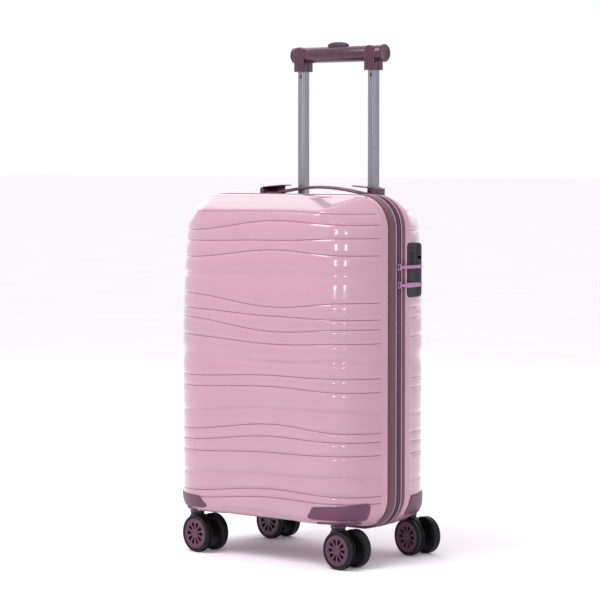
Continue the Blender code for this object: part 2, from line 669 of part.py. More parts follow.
def make_front_inside():
    rings = half_rings("front", -LINING_INSET, LINING_TURNS, LINING_LOW)
    thicken(add_part("front_lining", loft_mesh("front_lining", rings, False), "lining_fabric"), LINING_WALL)
    half_width, low, high, start, end = DIVIDER
    outline = rounded_outline(half_width, (high - low) / 2, 0.035, 4, (0, (high + low) / 2))
    add_part("divider_panel", plate_mesh("divider_panel", [outline], start, end, "Y"), "lining_fabric")


def make_rear_inside():
    half_width, low, high, start, end = REAR_LINING
    edge = 0.012
    rings = []
    for y, inset in ((start, 0), (end - edge, 0), (end - 0.3 * edge, 0.3 * edge), (end, edge)):
        outline = rounded_outline(half_width - inset, (high - low) / 2 - inset, 0.035 - inset, 4, (0, (high + low) / 2))
        rings.append([(x, y, z) for x, z in outline])
    thicken(add_part("rear_lining", loft_mesh("rear_lining", rings, False), "lining_fabric"), LINING_WALL)

    reach, tilt = 0.230, math.radians(54)
    straps = []
    for lean, half_thick in ((tilt, 0.0006), (-tilt, 0.0005)):
        strap = box_mesh("strap", (-reach, -half_thick, -STRAP_WIDTH / 2), (reach, half_thick, STRAP_WIDTH / 2))
        place = Matrix.Translation((0, STRAP_Y, (low + high) / 2))
        strap.transform(place @ Matrix.Rotation(lean, 4, "Y"))
        straps.append(strap)
    add_part("cross_straps", baked("cross_straps", straps[0], [("UNION", straps[1])]), "strap_webbing")
    middle = (low + high) / 2
    buckle = box_mesh("strap_buckle", (-0.026, 0.0650, middle - 0.017), (0.026, STRAP_Y - 0.001, middle + 0.017))
    bevel(add_part("strap_buckle", buckle, "plum_plastic"), 0.002)


def main():
    make_materials()
    make_shell("front")
    rear_shell = make_shell("rear")
    for half in ("front", "rear"):
        cavity = make_cavity(half)
        for side in ("left", "right"):
            make_housing(half, side, cavity)
    make_band()
    for which in SLIDER_HEIGHTS:
        make_zip_slider(which)
    make_lock(rear_shell)
    make_trolley(rear_shell)
    make_grip()
    make_handle()
    make_handle_mounts(filled_half("handle_seat", "rear", GAP))
    make_casters()
    make_front_inside()
    make_rear_inside()


for leftover in list(bpy.data.objects):
    bpy.data.objects.remove(leftover)
parts = bpy.data.collections.new("hard_shell_suitcase")
cutters = bpy.data.collections.new("suitcase_cutters")
bpy.context.scene.collection.children.link(parts)
bpy.context.scene.collection.children.link(cutters)
main()
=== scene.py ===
"""A cabin suitcase in glossy pink polypropylene: its shells, zip, lock, trolley, casters and lining."""

import json
import math

import bmesh
import bpy
import numpy as np
from mathutils import Matrix, Vector


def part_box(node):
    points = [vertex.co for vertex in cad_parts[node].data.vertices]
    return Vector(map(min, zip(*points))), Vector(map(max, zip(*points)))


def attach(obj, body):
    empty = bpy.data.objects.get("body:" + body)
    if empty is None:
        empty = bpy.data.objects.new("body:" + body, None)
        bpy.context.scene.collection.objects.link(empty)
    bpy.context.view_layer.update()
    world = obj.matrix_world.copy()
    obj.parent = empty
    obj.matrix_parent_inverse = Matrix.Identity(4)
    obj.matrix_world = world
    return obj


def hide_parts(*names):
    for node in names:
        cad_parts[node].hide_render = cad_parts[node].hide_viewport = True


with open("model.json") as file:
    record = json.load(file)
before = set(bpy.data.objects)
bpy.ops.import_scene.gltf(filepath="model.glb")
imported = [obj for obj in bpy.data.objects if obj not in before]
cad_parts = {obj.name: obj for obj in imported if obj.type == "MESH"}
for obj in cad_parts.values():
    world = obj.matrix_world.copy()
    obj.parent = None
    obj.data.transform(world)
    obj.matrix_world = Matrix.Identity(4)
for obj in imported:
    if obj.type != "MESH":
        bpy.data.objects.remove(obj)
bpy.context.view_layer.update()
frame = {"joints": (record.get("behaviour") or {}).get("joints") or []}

MM = 0.001

# ---------------------------------------------------------------- finishes

FINISH = {}
AMOUNT, FIRST_COLOUR, SECOND_COLOUR, MIXED = 0, 6, 7, 2  # the colour sockets of a Mix node


def linear(code):
    """An sRGB hex colour as linear values."""
    channels = [int(code[i:i + 2], 16) / 255 for i in (1, 3, 5)]
    return (*[c / 12.92 if c <= 0.04045 else ((c + 0.055) / 1.055) ** 2.4 for c in channels], 1.0)


def feed(tree, target, inputs):
    """Gives each named input of a node a plain value, or a link from another node's output."""
    for name, value in inputs.items():
        if isinstance(value, bpy.types.NodeSocket):
            tree.links.new(value, target.inputs[name])
        else:
            target.inputs[name].default_value = value


def node(tree, kind, inputs=None, **properties):
    """Adds a node with its properties and what feeds its inputs."""
    made = tree.nodes.new(kind)
    for name, value in properties.items():
        setattr(made, name, value)
    feed(tree, made, inputs or {})
    return made


def finish(name, colour, roughness, **sockets):
    """A material with one Principled shader; sockets are more of the shader's own plain values."""
    material = bpy.data.materials.new(name)
    material.use_nodes = True
    material.diffuse_color = linear(colour)
    tree = material.node_tree
    shader = tree.nodes["Principled BSDF"]
    plain = {socket.replace("_", " "): value for socket, value in sockets.items()}
    feed(tree, shader, {"Base Color": linear(colour), "Roughness": roughness, **plain})
    FINISH[name] = material
    return tree, shader


def drift(tree, size, low, high, detail=3.0, stretch=1.0, spread=(0.3, 0.7)):
    """A value that wanders from low to high over patches about size metres wide, and stretch times as tall."""
    place = node(tree, "ShaderNodeTexCoord").outputs["Object"]
    scale = (1 / size, 1 / size, 1 / (size * stretch))
    scaled = node(tree, "ShaderNodeMapping", {"Vector": place, "Scale": scale})
    patches = node(tree, "ShaderNodeTexNoise", {"Vector": scaled.outputs["Vector"], "Scale": 1.0,
                                                "Detail": detail, "Roughness": 0.55})
    ranged = node(tree, "ShaderNodeMapRange", {"Value": patches.outputs["Fac"], "From Min": spread[0],
                                               "From Max": spread[1], "To Min": low, "To Max": high})
    return ranged.outputs["Result"]


def moulded(name, colour, second, roughness, grain, depth, patches=(0.060, 0.0, 1.0, 2), **sockets):
    """Injection moulded plastic: a fine tool grain, patches of a second tone and an uneven gloss."""
    tree, shader = finish(name, colour, roughness, **sockets)
    tone = node(tree, "ShaderNodeMix", {AMOUNT: drift(tree, *patches), FIRST_COLOUR: linear(colour),
                                        SECOND_COLOUR: linear(second)}, data_type="RGBA")
    tool = node(tree, "ShaderNodeBump", {"Height": drift(tree, grain, 0.0, 1.0, 2, spread=(0, 1)),
                                         "Distance": depth})
    feed(tree, shader, {"Base Color": tone.outputs[MIXED], "Normal": tool.outputs["Normal"],
                        "Roughness": drift(tree, 0.012, roughness - 0.05, roughness + 0.07, 4)})


def woven(name, colour, darker, roughness, pitch, depth, axes=("X", "Z"), **sockets):
    """Plain weave: threads over and under each other at the pitch, along two object axes."""
    tree, shader = finish(name, colour, roughness, **sockets)
    place = node(tree, "ShaderNodeTexCoord").outputs["Object"]
    parts = node(tree, "ShaderNodeSeparateXYZ", {"Vector": place}).outputs
    waves = []
    for axis in axes:
        phase = node(tree, "ShaderNodeMath", {0: parts[axis], 1: math.pi / pitch}, operation="MULTIPLY")
        waves.append(node(tree, "ShaderNodeMath", {0: phase.outputs[0]}, operation="SINE").outputs[0])
    cross = node(tree, "ShaderNodeMath", {0: waves[0], 1: waves[1]}, operation="MULTIPLY").outputs[0]
    threads = node(tree, "ShaderNodeMapRange", {"Value": cross, "From Min": -1.0}).outputs["Result"]
    worn = drift(tree, pitch * 6, 0.0, 1.0)
    shade = node(tree, "ShaderNodeMath", {0: threads, 1: worn}, operation="MULTIPLY")
    tone = node(tree, "ShaderNodeMix", {AMOUNT: shade.outputs[0], FIRST_COLOUR: linear(darker),
                                        SECOND_COLOUR: linear(colour)}, data_type="RGBA")
    raised = node(tree, "ShaderNodeBump", {"Height": threads, "Distance": depth})
    feed(tree, shader, {"Base Color": tone.outputs[MIXED], "Normal": raised.outputs["Normal"]})


def make_shell_finish():
    """Polypropylene from a polished tool: a wet gloss over faint orange peel, with painted shade in its
    grooves.
    """
    tree, shader = finish("glossy_pink_polypropylene", "#B38A99", 0.16, IOR=1.49, Coat_Weight=0.6,
                          Coat_Roughness=0.07, Specular_IOR_Level=0.55, Subsurface_Weight=0.04,
                          Subsurface_Radius=(0.004, 0.0022, 0.0025))
    cloud = drift(tree, 0.110, 0.0, 1.0, 2)
    body = node(tree, "ShaderNodeMix", {AMOUNT: cloud, FIRST_COLOUR: linear("#B58B9B"),
                                        SECOND_COLOUR: linear("#B08696")}, data_type="RGBA")
    # Painted shade: where the groove attribute is 1, the colour darkens towards #9E6C80 as if shade fell into
    # the grooves.
    groove = node(tree, "ShaderNodeAttribute", attribute_name="groove").outputs["Fac"]
    tone = node(tree, "ShaderNodeMix", {AMOUNT: groove, FIRST_COLOUR: body.outputs[MIXED],
                                        SECOND_COLOUR: linear("#9E6C80")}, data_type="RGBA")
    peel = node(tree, "ShaderNodeBump", {"Height": drift(tree, 0.0065, 0.0, 1.0, 1, spread=(0, 1)),
                                         "Distance": 0.00006})
    feed(tree, shader, {"Base Color": tone.outputs[MIXED], "Normal": peel.outputs["Normal"],
                        "Roughness": drift(tree, 0.020, 0.13, 0.20, 4)})


def make_metal_finishes():
    """Lacquered zinc, and brushed and anodised aluminium."""
    # Pull tabs: zinc die castings under a mauve metallic lacquer.
    tree, shader = finish("mauve_lacquered_zinc", "#A9789F", 0.27, Metallic=0.85, Coat_Weight=0.5,
                          Coat_Roughness=0.12)
    feed(tree, shader, {"Roughness": drift(tree, 0.004, 0.20, 0.36, 4)})
    # Tubes: extruded aluminium, brushed along their length and anodised natural.
    tree, shader = finish("brushed_anodised_aluminium", "#8E8D95", 0.30, Metallic=1.0)
    line, run = 0.0006, 90  # width of a brush line, and how many times longer it is
    tone = node(tree, "ShaderNodeMix", {AMOUNT: drift(tree, line, 0.0, 1.0, stretch=run),
                                        FIRST_COLOUR: linear("#86858D"), SECOND_COLOUR: linear("#97969E")},
                data_type="RGBA")
    brushed = node(tree, "ShaderNodeBump", {"Height": drift(tree, line, 0.0, 1.0, stretch=run, spread=(0, 1)),
                                            "Distance": 0.000003})
    feed(tree, shader, {"Base Color": tone.outputs[MIXED], "Normal": brushed.outputs["Normal"],
                        "Roughness": drift(tree, line, 0.22, 0.40, stretch=run)})


def make_floor_finish():
    """White studio floor: matt paper with a very slight fibre."""
    tree, shader = finish("studio_floor_paper", "#FBF7FD", 0.85, Specular_IOR_Level=0.15)
    tone = node(tree, "ShaderNodeMix", {AMOUNT: drift(tree, 0.4, 0.0, 1.0), FIRST_COLOUR: linear("#FCF8FE"),
                                        SECOND_COLOUR: linear("#FAF5FC")}, data_type="RGBA")
    feed(tree, shader, {"Base Color": tone.outputs[MIXED]})


def make_finishes():
    """All finishes, kept by name in FINISH."""
    make_shell_finish()
    # Plum polypropylene with a fine spark-eroded texture: satin, slightly purple in the light.
    moulded("plum_moulded_plastic", "#613650", "#583047", 0.42, 0.0007, 0.00005)
    # Grip: the same plastic, redder and smoother where the hand polishes it.
    moulded("plum_grip_plastic", "#451A32", "#3C162B", 0.22, 0.0012, 0.00003, Coat_Weight=0.2,
            Coat_Roughness=0.2)
    # Release button: a softer, nearly black overmould.
    moulded("dark_button_plastic", "#3A2231", "#2E1A27", 0.45, 0.0006, 0.00004)
    moulded("plum_hub_plastic", "#512841", "#472239", 0.36, 0.0009, 0.00004)
    # Lock: black ABS, fine etched texture.
    moulded("black_abs", "#101213", "#0C0E0E", 0.40, 0.0006, 0.00004, Specular_IOR_Level=0.4)
    moulded("black_nylon", "#1B1A1C", "#131314", 0.48, 0.0008, 0.00006)
    # Tyre: polyurethane with a light dusting from the floor in patches.
    moulded("black_polyurethane", "#08080A", "#151413", 0.48, 0.0005, 0.00004,
            patches=(0.009, 0.0, 0.35, 5, 1.0, (0.45, 0.75)), Specular_IOR_Level=0.25)
    # Gusset: 600 denier plum polyester; real threads are 0.45 mm, drawn at 0.9 mm so that they show.
    woven("plum_woven_polyester", "#6C3546", "#4C2430", 0.78, 0.0009, 0.00025, ("Y", "Z"), Sheen_Weight=0.25,
          Sheen_Roughness=0.5)
    woven("zip_tape_polyester", "#79546F", "#5C3B55", 0.70, 0.0008, 0.0002, ("Y", "Z"), Sheen_Weight=0.3)
    # Zip coil, and the cord in the welt: extruded nylon and soft vinyl.
    moulded("dark_nylon_coil", "#4E2D49", "#3F223A", 0.33, 0.0006, 0.00003)
    moulded("light_piping", "#B795AE", "#A583A0", 0.45, 0.0006, 0.00003)
    make_metal_finishes()
    # Lining, straps, sewing thread and the pocket's net: polyester of a rising coarseness.
    woven("rose_lining_polyester", "#A88393", "#8C6778", 0.80, 0.0012, 0.00025, Sheen_Weight=0.35,
          Sheen_Roughness=0.4)
    woven("plum_webbing", "#5B3140", "#43202E", 0.75, 0.0014, 0.0004, Sheen_Weight=0.2)
    woven("plum_thread", "#8A5A6C", "#6F4355", 0.65, 0.0004, 0.0001)
    woven("dark_mesh", "#4A2A38", "#341A27", 0.85, 0.0016, 0.0004)
    make_floor_finish()


# ---------------------------------------------------------------- mesh helpers

def dressed(name, mesh, material, body, replaces=(), smooth=35.0):
    """Makes a finished piece of a mesh and lets it ride on its body; edges over smooth degrees stay sharp."""
    mesh.materials.clear()
    mesh.materials.append(FINISH[material])
    mesh.shade_smooth()
    mesh.set_sharp_from_angle(angle=math.radians(smooth))
    made = bpy.data.objects.new(name, mesh)
    bpy.context.scene.collection.objects.link(made)
    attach(made, body)
    if replaces:
        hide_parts(*replaces)
    return made


def joined(name, meshes):
    """One mesh from several."""
    bm = bmesh.new()
    for mesh in meshes:
        bm.from_mesh(mesh)
    whole = bpy.data.meshes.new(name)
    bm.to_mesh(whole)
    bm.free()
    return whole


def mesh_from(name, points, faces):
    """A mesh of the given points and faces."""
    mesh = bpy.data.meshes.new(name)
    mesh.from_pydata([tuple(p) for p in points], [], [tuple(f) for f in faces])
    return mesh


def tidy(mesh, merge=1e-6):
    """Merges doubles and turns the faces outwards."""
    bm = bmesh.new()
    bm.from_mesh(mesh)
    bmesh.ops.remove_doubles(bm, verts=bm.verts, dist=merge)
    bmesh.ops.dissolve_degenerate(bm, edges=bm.edges, dist=merge)
    bmesh.ops.recalc_face_normals(bm, faces=bm.faces)
    bm.to_mesh(mesh)
    bm.free()
    return mesh


def grid_faces(rows, columns, around=False, start=0):
    """Quads between rows of points; around joins each row's last point to its first."""
    faces = []
    for i in range(rows - 1):
        for j in range(columns if around else columns - 1):
            k = (j + 1) % columns
            first, second = start + i * columns, start + (i + 1) * columns
            faces.append((first + j, first + k, second + k, second + j))
    return faces


def two_sided(rows, count):
    """Faces of a closed wall made from an outer and then an inner grid of points."""
    faces = grid_faces(rows, count)
    shift = rows * count
    faces += [tuple(i + shift for i in reversed(face)) for face in faces]
    first_row, last_row = list(range(count)), [(rows - 1) * count + j for j in range(count - 2, -1, -1)]
    right_side = [i * count + count - 1 for i in range(1, rows)]
    left_side = [i * count for i in range(rows - 2, 0, -1)]
    rim = first_row + right_side + last_row + left_side
    return faces + [(b, a, a + shift, b + shift) for a, b in zip(rim, rim[1:] + rim[:1])]


def loft(name, rings, cap=True):
    """Skins closed rings of equal counts, with flat ends if cap."""
    count = len(rings[0])
    points = [p for ring in rings for p in ring]
    faces = grid_faces(len(rings), count, True)
    if cap:
        faces.append(tuple(range(count))[::-1])
        faces.append(tuple(range((len(rings) - 1) * count, len(rings) * count)))
    return tidy(mesh_from(name, points, faces), 1e-7)


def sweep(name, path, section, closed=True):
    """Carries a section of (depth, outwards) points along a path that keeps to one depth."""
    path = [Vector(p) for p in path]
    across = Vector((0, 1, 0))
    rings = []
    for i, point in enumerate(path):
        ahead = path[(i + 1) % len(path)] if closed or i + 1 < len(path) else point
        behind = path[i - 1] if closed or i else point
        along = (ahead - behind).normalized()
        up = across.cross(along).normalized()
        rings.append([point + across * a + up * b for a, b in section])
    if closed:
        rings.append(rings[0])
    return loft(name, rings, not closed)


def circle(radius, count, centre=(0.0, 0.0)):
    """A closed round outline."""
    return [(centre[0] + radius * math.cos(turn), centre[1] + radius * math.sin(turn))
            for turn in (2 * math.pi * i / count for i in range(count))]


def rounded_rectangle(half_w, half_h, radius, steps=6, centre=(0.0, 0.0)):
    """A closed outline with four rounded corners, anticlockwise."""
    points = []
    for quarter, (sx, sy) in enumerate(((1, 1), (-1, 1), (-1, -1), (1, -1))):
        for step in range(steps + 1):
            turn = math.pi / 2 * (quarter + step / steps)
            points.append((centre[0] + sx * (half_w - radius) + radius * math.cos(turn),
                           centre[1] + sy * (half_h - radius) + radius * math.sin(turn)))
    return points


AXES = {
    "Z": Matrix(),
    "Y": Matrix(((1, 0, 0, 0), (0, 0, 1, 0), (0, 1, 0, 0), (0, 0, 0, 1))),
    "X": Matrix(((0, 0, 1, 0), (1, 0, 0, 0), (0, 1, 0, 0), (0, 0, 0, 1))),
}


def slab(name, outline, low, high, axis="Z", edge=0.0, steps=3):
    """A flat outline extruded from low to high along an axis, its rims rounded over by edge."""
    inward = inset_directions(outline)
    levels = [(low, 0.0), (high, 0.0)]
    if edge:
        turns = [math.pi / 2 * k / steps for k in range(steps + 1)]
        levels = [(low + edge * (1 - math.sin(t)), edge * (1 - math.cos(t))) for t in reversed(turns)]
        levels += [(high - edge * (1 - math.sin(t)), edge * (1 - math.cos(t))) for t in turns]
    rings = []
    for level, inset in levels:
        rings.append([AXES[axis] @ Vector((x + dx * inset, y + dy * inset, level))
                      for (x, y), (dx, dy) in zip(outline, inward)])
    return loft(name, rings)


def inset_directions(outline):
    """Unit directions that move each point of an outline inwards, at right angles to the outline."""
    area = sum(a[0] * b[1] - b[0] * a[1] for a, b in zip(outline, outline[1:] + outline[:1]))
    hand = 1 if area > 0 else -1
    directions = []
    for i in range(len(outline)):
        ahead, behind = outline[(i + 1) % len(outline)], outline[i - 1]
        along = Vector((ahead[0] - behind[0], ahead[1] - behind[1])).normalized()
        directions.append((-along.y * hand, along.x * hand))
    return directions


def turned(name, profile, sides, axis="Z", centre=(0, 0, 0), closed=True):
    """A lathe shape: (radius, along) points turned about an axis through centre."""
    rings = []
    for radius, along in profile:
        rings.append([AXES[axis] @ Vector((radius * math.cos(a), radius * math.sin(a), along)) + Vector(centre)
                      for a in (2 * math.pi * (k + 0.5) / sides for k in range(sides))])
    if closed:
        rings.append(rings[0])
        return loft(name, rings, False)
    return loft(name, rings, True)


def rod(radius, half):
    """The lathe profile of a plain rod, half its length to each side of its middle."""
    return [(0.0001, -half), (radius, -half), (radius, half), (0.0001, half)]


def rounded_box(name, low, high, radius, steps=3):
    """A box whose corners and edges are rounded."""
    (x0, y0, z0), (x1, y1, z1) = low, high
    outline = rounded_rectangle((x1 - x0) / 2, (y1 - y0) / 2, radius, steps, ((x0 + x1) / 2, (y0 + y1) / 2))
    return slab(name, outline, z0, z1, "Z", min(radius, (z1 - z0) / 2.05), steps)


def cut(mesh, cutters, operation="DIFFERENCE"):
    """Boolean with plain meshes; returns the new mesh."""
    target = bpy.data.objects.new("cut_target", mesh)
    bpy.context.scene.collection.objects.link(target)
    helpers = [target]
    for cutter in cutters:
        helper = bpy.data.objects.new("cutter", cutter)
        bpy.context.scene.collection.objects.link(helper)
        helpers.append(helper)
        boolean = target.modifiers.new("cut", "BOOLEAN")
        boolean.operation = operation
        boolean.solver = "EXACT"
        boolean.object = helper
    bpy.context.view_layer.update()
    result = bpy.data.meshes.new_from_object(target.evaluated_get(bpy.context.evaluated_depsgraph_get()))
    for helper in helpers:
        bpy.data.objects.remove(helper)
    return result


# ---------------------------------------------------------------- the half shells

FLANGE = 0.004  # straight part next to the rim
SIDE_ROUND = 0.085
TOP_FALL = 0.0225  # how far the top slopes down from the rim to the face
TOP_EDGE = 0.009
BOTTOM_RISE = 0.013
BOTTOM_EDGE = 0.012
EDGE_START = 0.88  # share of the depth at which the top and bottom turn over to the face
SLOPE_POWER = 1.2  # how late the top and bottom slopes come on
RIM_CORNER = 0.050
TOP_CORNER_FLAT = (0.135, 0.018)  # half width of the flat top at the rim, and how much of it the face loses
TOP_CORNER_SMALLEST = 0.008
LOW_CORNER_SHRINK = 0.034
RIM_BAND = (0.0135, 0.0165)  # the smooth band beside the rim ends here
BAND_STEP = 0.0007
SHELL_WALL = 0.0024
BARREL_FROM = 0.34  # the shells narrow above this height
BARREL_RISE = 0.147
BARREL_SIDE = 0.0055
LEAN = {"front": 0.0080, "rear": 0.0}
GROOVE_HALF = 0.0009
GROOVE_DEPTH = 0.0010
LIP = 0.0012  # the rim's rounding, at twice its depth
WAVES_FROM, WAVES_TO = 0.080, 0.512
WAVE_GROWTH = (0.020, 0.060)  # the waves deepen between these distances from the rim

low_corner, high_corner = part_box("front_shell")
HALF_WIDTH = high_corner.x
BOTTOM, TOP = low_corner.z, high_corner.z
RIM = {"front": high_corner.y, "rear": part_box("rear_shell")[0].y}
FACE = {"front": low_corner.y, "rear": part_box("rear_shell")[1].y}
SIGN = {"front": -1, "rear": 1}
CORNERS = ("front_left", "front_right", "rear_left", "rear_right")
JOINTS = {joint["name"]: joint for joint in frame["joints"]}
CASTER_X, CASTER_Y, _ = (abs(v) for v in JOINTS["swivel_front_right"]["pos_m"])
RECESS = 0.0668  # the flat over each caster

# Heights of the moulded lines in millimetres: at the left edge, at the crest and at the right edge.
STATIONS = (-0.145, 0.040, 0.165)
GROOVES = {
    "front": [(84, 96, 93), (95, 108.5, 103.5), (155, 162.5, 163.5), (172, 186.5, 183), (188, 204.3, 196),
              (253, 260, 255.5), (269, 276.5, 275.5), (330, 322.5, 326.5), (357, 341, 347),
              (370.5, 363.8, 361), (393, 377, 385.5), (447.5, 461, 454), (472, 475, 479), (488, 504, 498.5),
              (516.5, 518.3, 514.5)],
    "rear": [(92, 104, 96), (159, 168, 160), (176, 190, 177), (191, 204, 191), (257, 264, 257), (272, 279, 272),
             (333, 326, 333), (361, 350, 361), (375, 366, 375.5), (460, 468, 462), (489, 500, 489),
             (516.5, 518, 517.5)],
}
# Waves between the lines: the heights of their lower and upper edges, and their depth in millimetres.
WAVES = {
    "front": [((116, 123.5, 126), (127, 132.5, 134.5), 1.5), ((210.5, 220.5, 222.5), (219, 231, 231), 1.7),
              ((284, 291.5, 292), (313, 299.3, 305.5), 2.0), ((414.5, 398, 411.5), (427, 442, 435), 2.3)],
    "rear": [((117, 124, 117), (126, 134, 126), 1.5), ((215, 221, 215), (222, 231, 222), 1.7),
             ((280, 291, 280), (313, 301, 313), 2.0), ((412, 398, 410), (428, 441, 436), 2.3)],
}


def ease(t):
    """0 to 1 along half a cosine wave."""
    t = np.clip(t, 0, 1)
    return 0.5 - 0.5 * np.cos(math.pi * t)


def step_up(value, start, end):
    """0 before start, 1 after end, and a smooth step between them."""
    t = np.clip((value - start) / (end - start), 0, 1)
    return t * t * (3 - 2 * t)


def quarter(share):
    """How far a quarter circle has fallen, from 0 to 1."""
    return 1 - np.sqrt(np.clip(1 - np.square(share), 0, 1))


def half_width(s):
    """Half the shell's width at share s of its depth."""
    return HALF_WIDTH - SIDE_ROUND * quarter(s)


def roof(s):
    """Height of the shell's top at share s of its depth."""
    over = np.clip((s - EDGE_START) / (1 - EDGE_START), 0, 1)
    return TOP - TOP_FALL * np.power(s, SLOPE_POWER) - TOP_EDGE * quarter(over)


def floor_line(s):
    """Height of the shell's bottom at share s of its depth."""
    over = np.clip((s - EDGE_START) / (1 - EDGE_START), 0, 1)
    return BOTTOM + BOTTOM_RISE * np.power(s, SLOPE_POWER) + BOTTOM_EDGE * quarter(over)


SHARES = np.linspace(0, 1, 401)


def deepest(z):
    """The largest depth share that a level reaches, because the top and bottom slope."""
    from_top = np.interp(-z, -roof(SHARES), SHARES)
    from_bottom = np.interp(z, floor_line(SHARES), SHARES)
    return np.minimum(from_top, from_bottom)


def width_at(s, z):
    """Half width of the half shell at a depth share and a height."""
    flat, lost = TOP_CORNER_FLAT
    top_radius = np.clip(half_width(s) - (flat - lost * s), TOP_CORNER_SMALLEST, RIM_CORNER)
    low_radius = RIM_CORNER - LOW_CORNER_SHRINK * s
    above = np.clip(z - (roof(s) - top_radius), 0, top_radius)
    below = np.clip(floor_line(s) + low_radius - z, 0, low_radius)
    narrowed = top_radius - np.sqrt(np.square(top_radius) - np.square(above))
    narrowed = narrowed + low_radius - np.sqrt(np.square(low_radius) - np.square(below))
    barrel = BARREL_SIDE * np.power(np.clip((z - BARREL_FROM) / BARREL_RISE, 0, 1.25), 1.5)
    return half_width(s) - narrowed - barrel * step_up(s, 0.0, 0.6)


def depth_at(half, s, z):
    """Y of a depth share; the front leans back towards its top."""
    start = RIM[half] + SIGN[half] * FLANGE
    lean = LEAN[half] * np.power(np.clip((z - BARREL_FROM) / BARREL_RISE, 0, 1.25), 1.4)
    return start + (FACE[half] - start) * s - SIGN[half] * lean * s


FACE_HALF = 0.100  # the face is flat this far to each side
ROUND_LENGTH = 0.129  # nominal length of the side rounding, from the face to the rim's flange


def side_share(unrolled):
    """The depth share of a place along the shell, measured round it from its middle."""
    turn = np.clip((np.abs(unrolled) - FACE_HALF) / ROUND_LENGTH, 0, 1) * math.pi / 2
    return np.cos(turn)


def columns(half, face_step=0.005):
    """The vertical lines of a half shell's grid, as places along it, and where each is on the flange."""
    reach = abs(FACE[half] - RIM[half]) - FLANGE
    near_rim = [0, 0.0015, 0.0035, 0.0060, 0.0080, 0.0092, 0.0102, 0.0112, 0.0122, 0.0135, 0.0160]
    turns = [math.acos(y / reach) for y in near_rim]
    turns += [turns[-1] * (1 - k / 22) for k in range(1, 23)]
    side = [FACE_HALF + ROUND_LENGTH * turn / (math.pi / 2) for turn in turns]
    across = list(np.linspace(-FACE_HALF, FACE_HALF, round(2 * FACE_HALF / face_step) + 1))[1:-1]
    places = [-side[0]] * 2 + [-u for u in side] + across + side[::-1] + [side[0]] * 2
    flange = np.zeros(len(places))
    flange[[0, -1]] = 1.0
    flange[[1, -2]] = 0.6
    return np.array(places), flange


def line_height(levels, unrolled):
    """A moulded line's height along the shell: it swells to its crest and settles at both edges."""
    left, crest, right = (v * MM for v in levels)
    first, middle, last = STATIONS
    rising = left + (crest - left) * ease((unrolled - first) / (middle - first))
    return rising + (right - crest) * ease((unrolled - middle) / (last - middle))


def shell_rows(half, u):
    """Heights of the grid's rows, with the groove depth and the wave depth of each."""
    features = [(line_height(levels, u), None, None) for levels in GROOVES[half]]
    features += [(line_height(low, u), line_height(high, u), depth * MM) for low, high, depth in WAVES[half]]
    features.sort(key=lambda f: f[0].mean())
    rows = []

    def add(height, groove=0.0, wave=0.0):
        rows.append((np.broadcast_to(height, u.shape), groove, wave))

    def bridge(start, end, count):
        for k in range(1, count + 1):
            add(start + (end - start) * k / (count + 1))

    lowest = features[0][0] - GROOVE_HALF
    for k in range(26):
        add(BOTTOM + (lowest - BOTTOM) * (k / 26) ** 1.5)
    previous = None
    for low, high, depth in features:
        first = low - GROOVE_HALF if high is None else low
        if previous is not None:
            bridge(previous, first, 2 if (first - previous).mean() < 0.020 else 3)
        if high is None:
            for offset, groove in ((-1, 0.0), (-0.45, 0.62), (0, 1.0), (0.45, 0.62), (1, 0.0)):
                add(low + offset * GROOVE_HALF, groove)
            previous = low + GROOVE_HALF
        else:
            for k in range(15):
                t = k / 14
                scoop = math.sin(math.pi * t ** 1.35) ** 1.15
                add(low + (high - low) * t, 0.0, depth * scoop)
            previous = high
    for k in range(1, 19):
        add(previous + (TOP - previous) * (1 - (1 - k / 18) ** 1.8))
    heights, grooves, waves = zip(*rows)
    return np.array(heights), np.array(grooves)[:, None], np.array(waves)[:, None]


def shell_points(half, unrolled, heights, flange=0.0):
    """Where places along the shell, at these heights, lie on its plain surface."""
    on_face = np.abs(unrolled) <= FACE_HALF
    across = np.where(on_face, unrolled / FACE_HALF, np.sign(unrolled))
    s = side_share(unrolled) * deepest(heights)
    wide = width_at(s, heights)
    y = depth_at(half, s, heights)
    y = y + (RIM[half] - y) * flange
    return np.stack(np.broadcast_arrays(across * wide, y, heights), axis=-1)


def recessed(points):
    """Lifts the shell's underside over each caster into a flat recess."""
    x, y, z = np.abs(points[..., 0]) - CASTER_X, np.abs(points[..., 1]) - CASTER_Y, points[..., 2]
    over = step_up(x, -0.024, -0.014) * step_up(y, -0.021, -0.012)
    lifted = points.copy()
    lifted[..., 2] = np.maximum(z, RECESS * over)
    return lifted


def outward(points, half):
    """Unit normals of a grid of points."""
    along = np.gradient(points, axis=1)
    up = np.gradient(points, axis=0)
    normal = np.cross(along, up)
    length = np.linalg.norm(normal, axis=-1, keepdims=True)
    return normal / np.maximum(length, 1e-12) * (1 if half == "front" else -1)


TUCK = {"front": 0.0055, "rear": 0.0}  # how far the underside sits inside the band
TUCK_TOP = 0.066
TUCK_ENDS = (0.148, 0.170)
FOOT_DEPTH = 0.0020
FOOT_LEFT, FOOT_RIGHT = (-0.066, -0.060), (0.062, 0.088)  # where the foot recess begins and ends
FOOT_CEILING, FOOT_SLOPE, FOOT_SOFT = 0.0770, 0.0060, 0.0032
FOOT_SLOPED = (0.010, 0.085)  # where its upper edge slopes down to the right
FOOT_FADE = (-0.030, -0.080)  # it starts this far in front of the band


def foot_recess(points):
    """A shallow step in the lower front edge, between the housings."""
    x, z = points[..., 0], points[..., 2]
    across = step_up(x, *FOOT_LEFT) * (1 - step_up(x, *FOOT_RIGHT))
    ceiling = FOOT_CEILING - FOOT_SLOPE * step_up(x, *FOOT_SLOPED)
    below = 1 - step_up(z, ceiling - FOOT_SOFT, ceiling)
    return FOOT_DEPTH * across * below * step_up(points[..., 1], *FOOT_FADE)


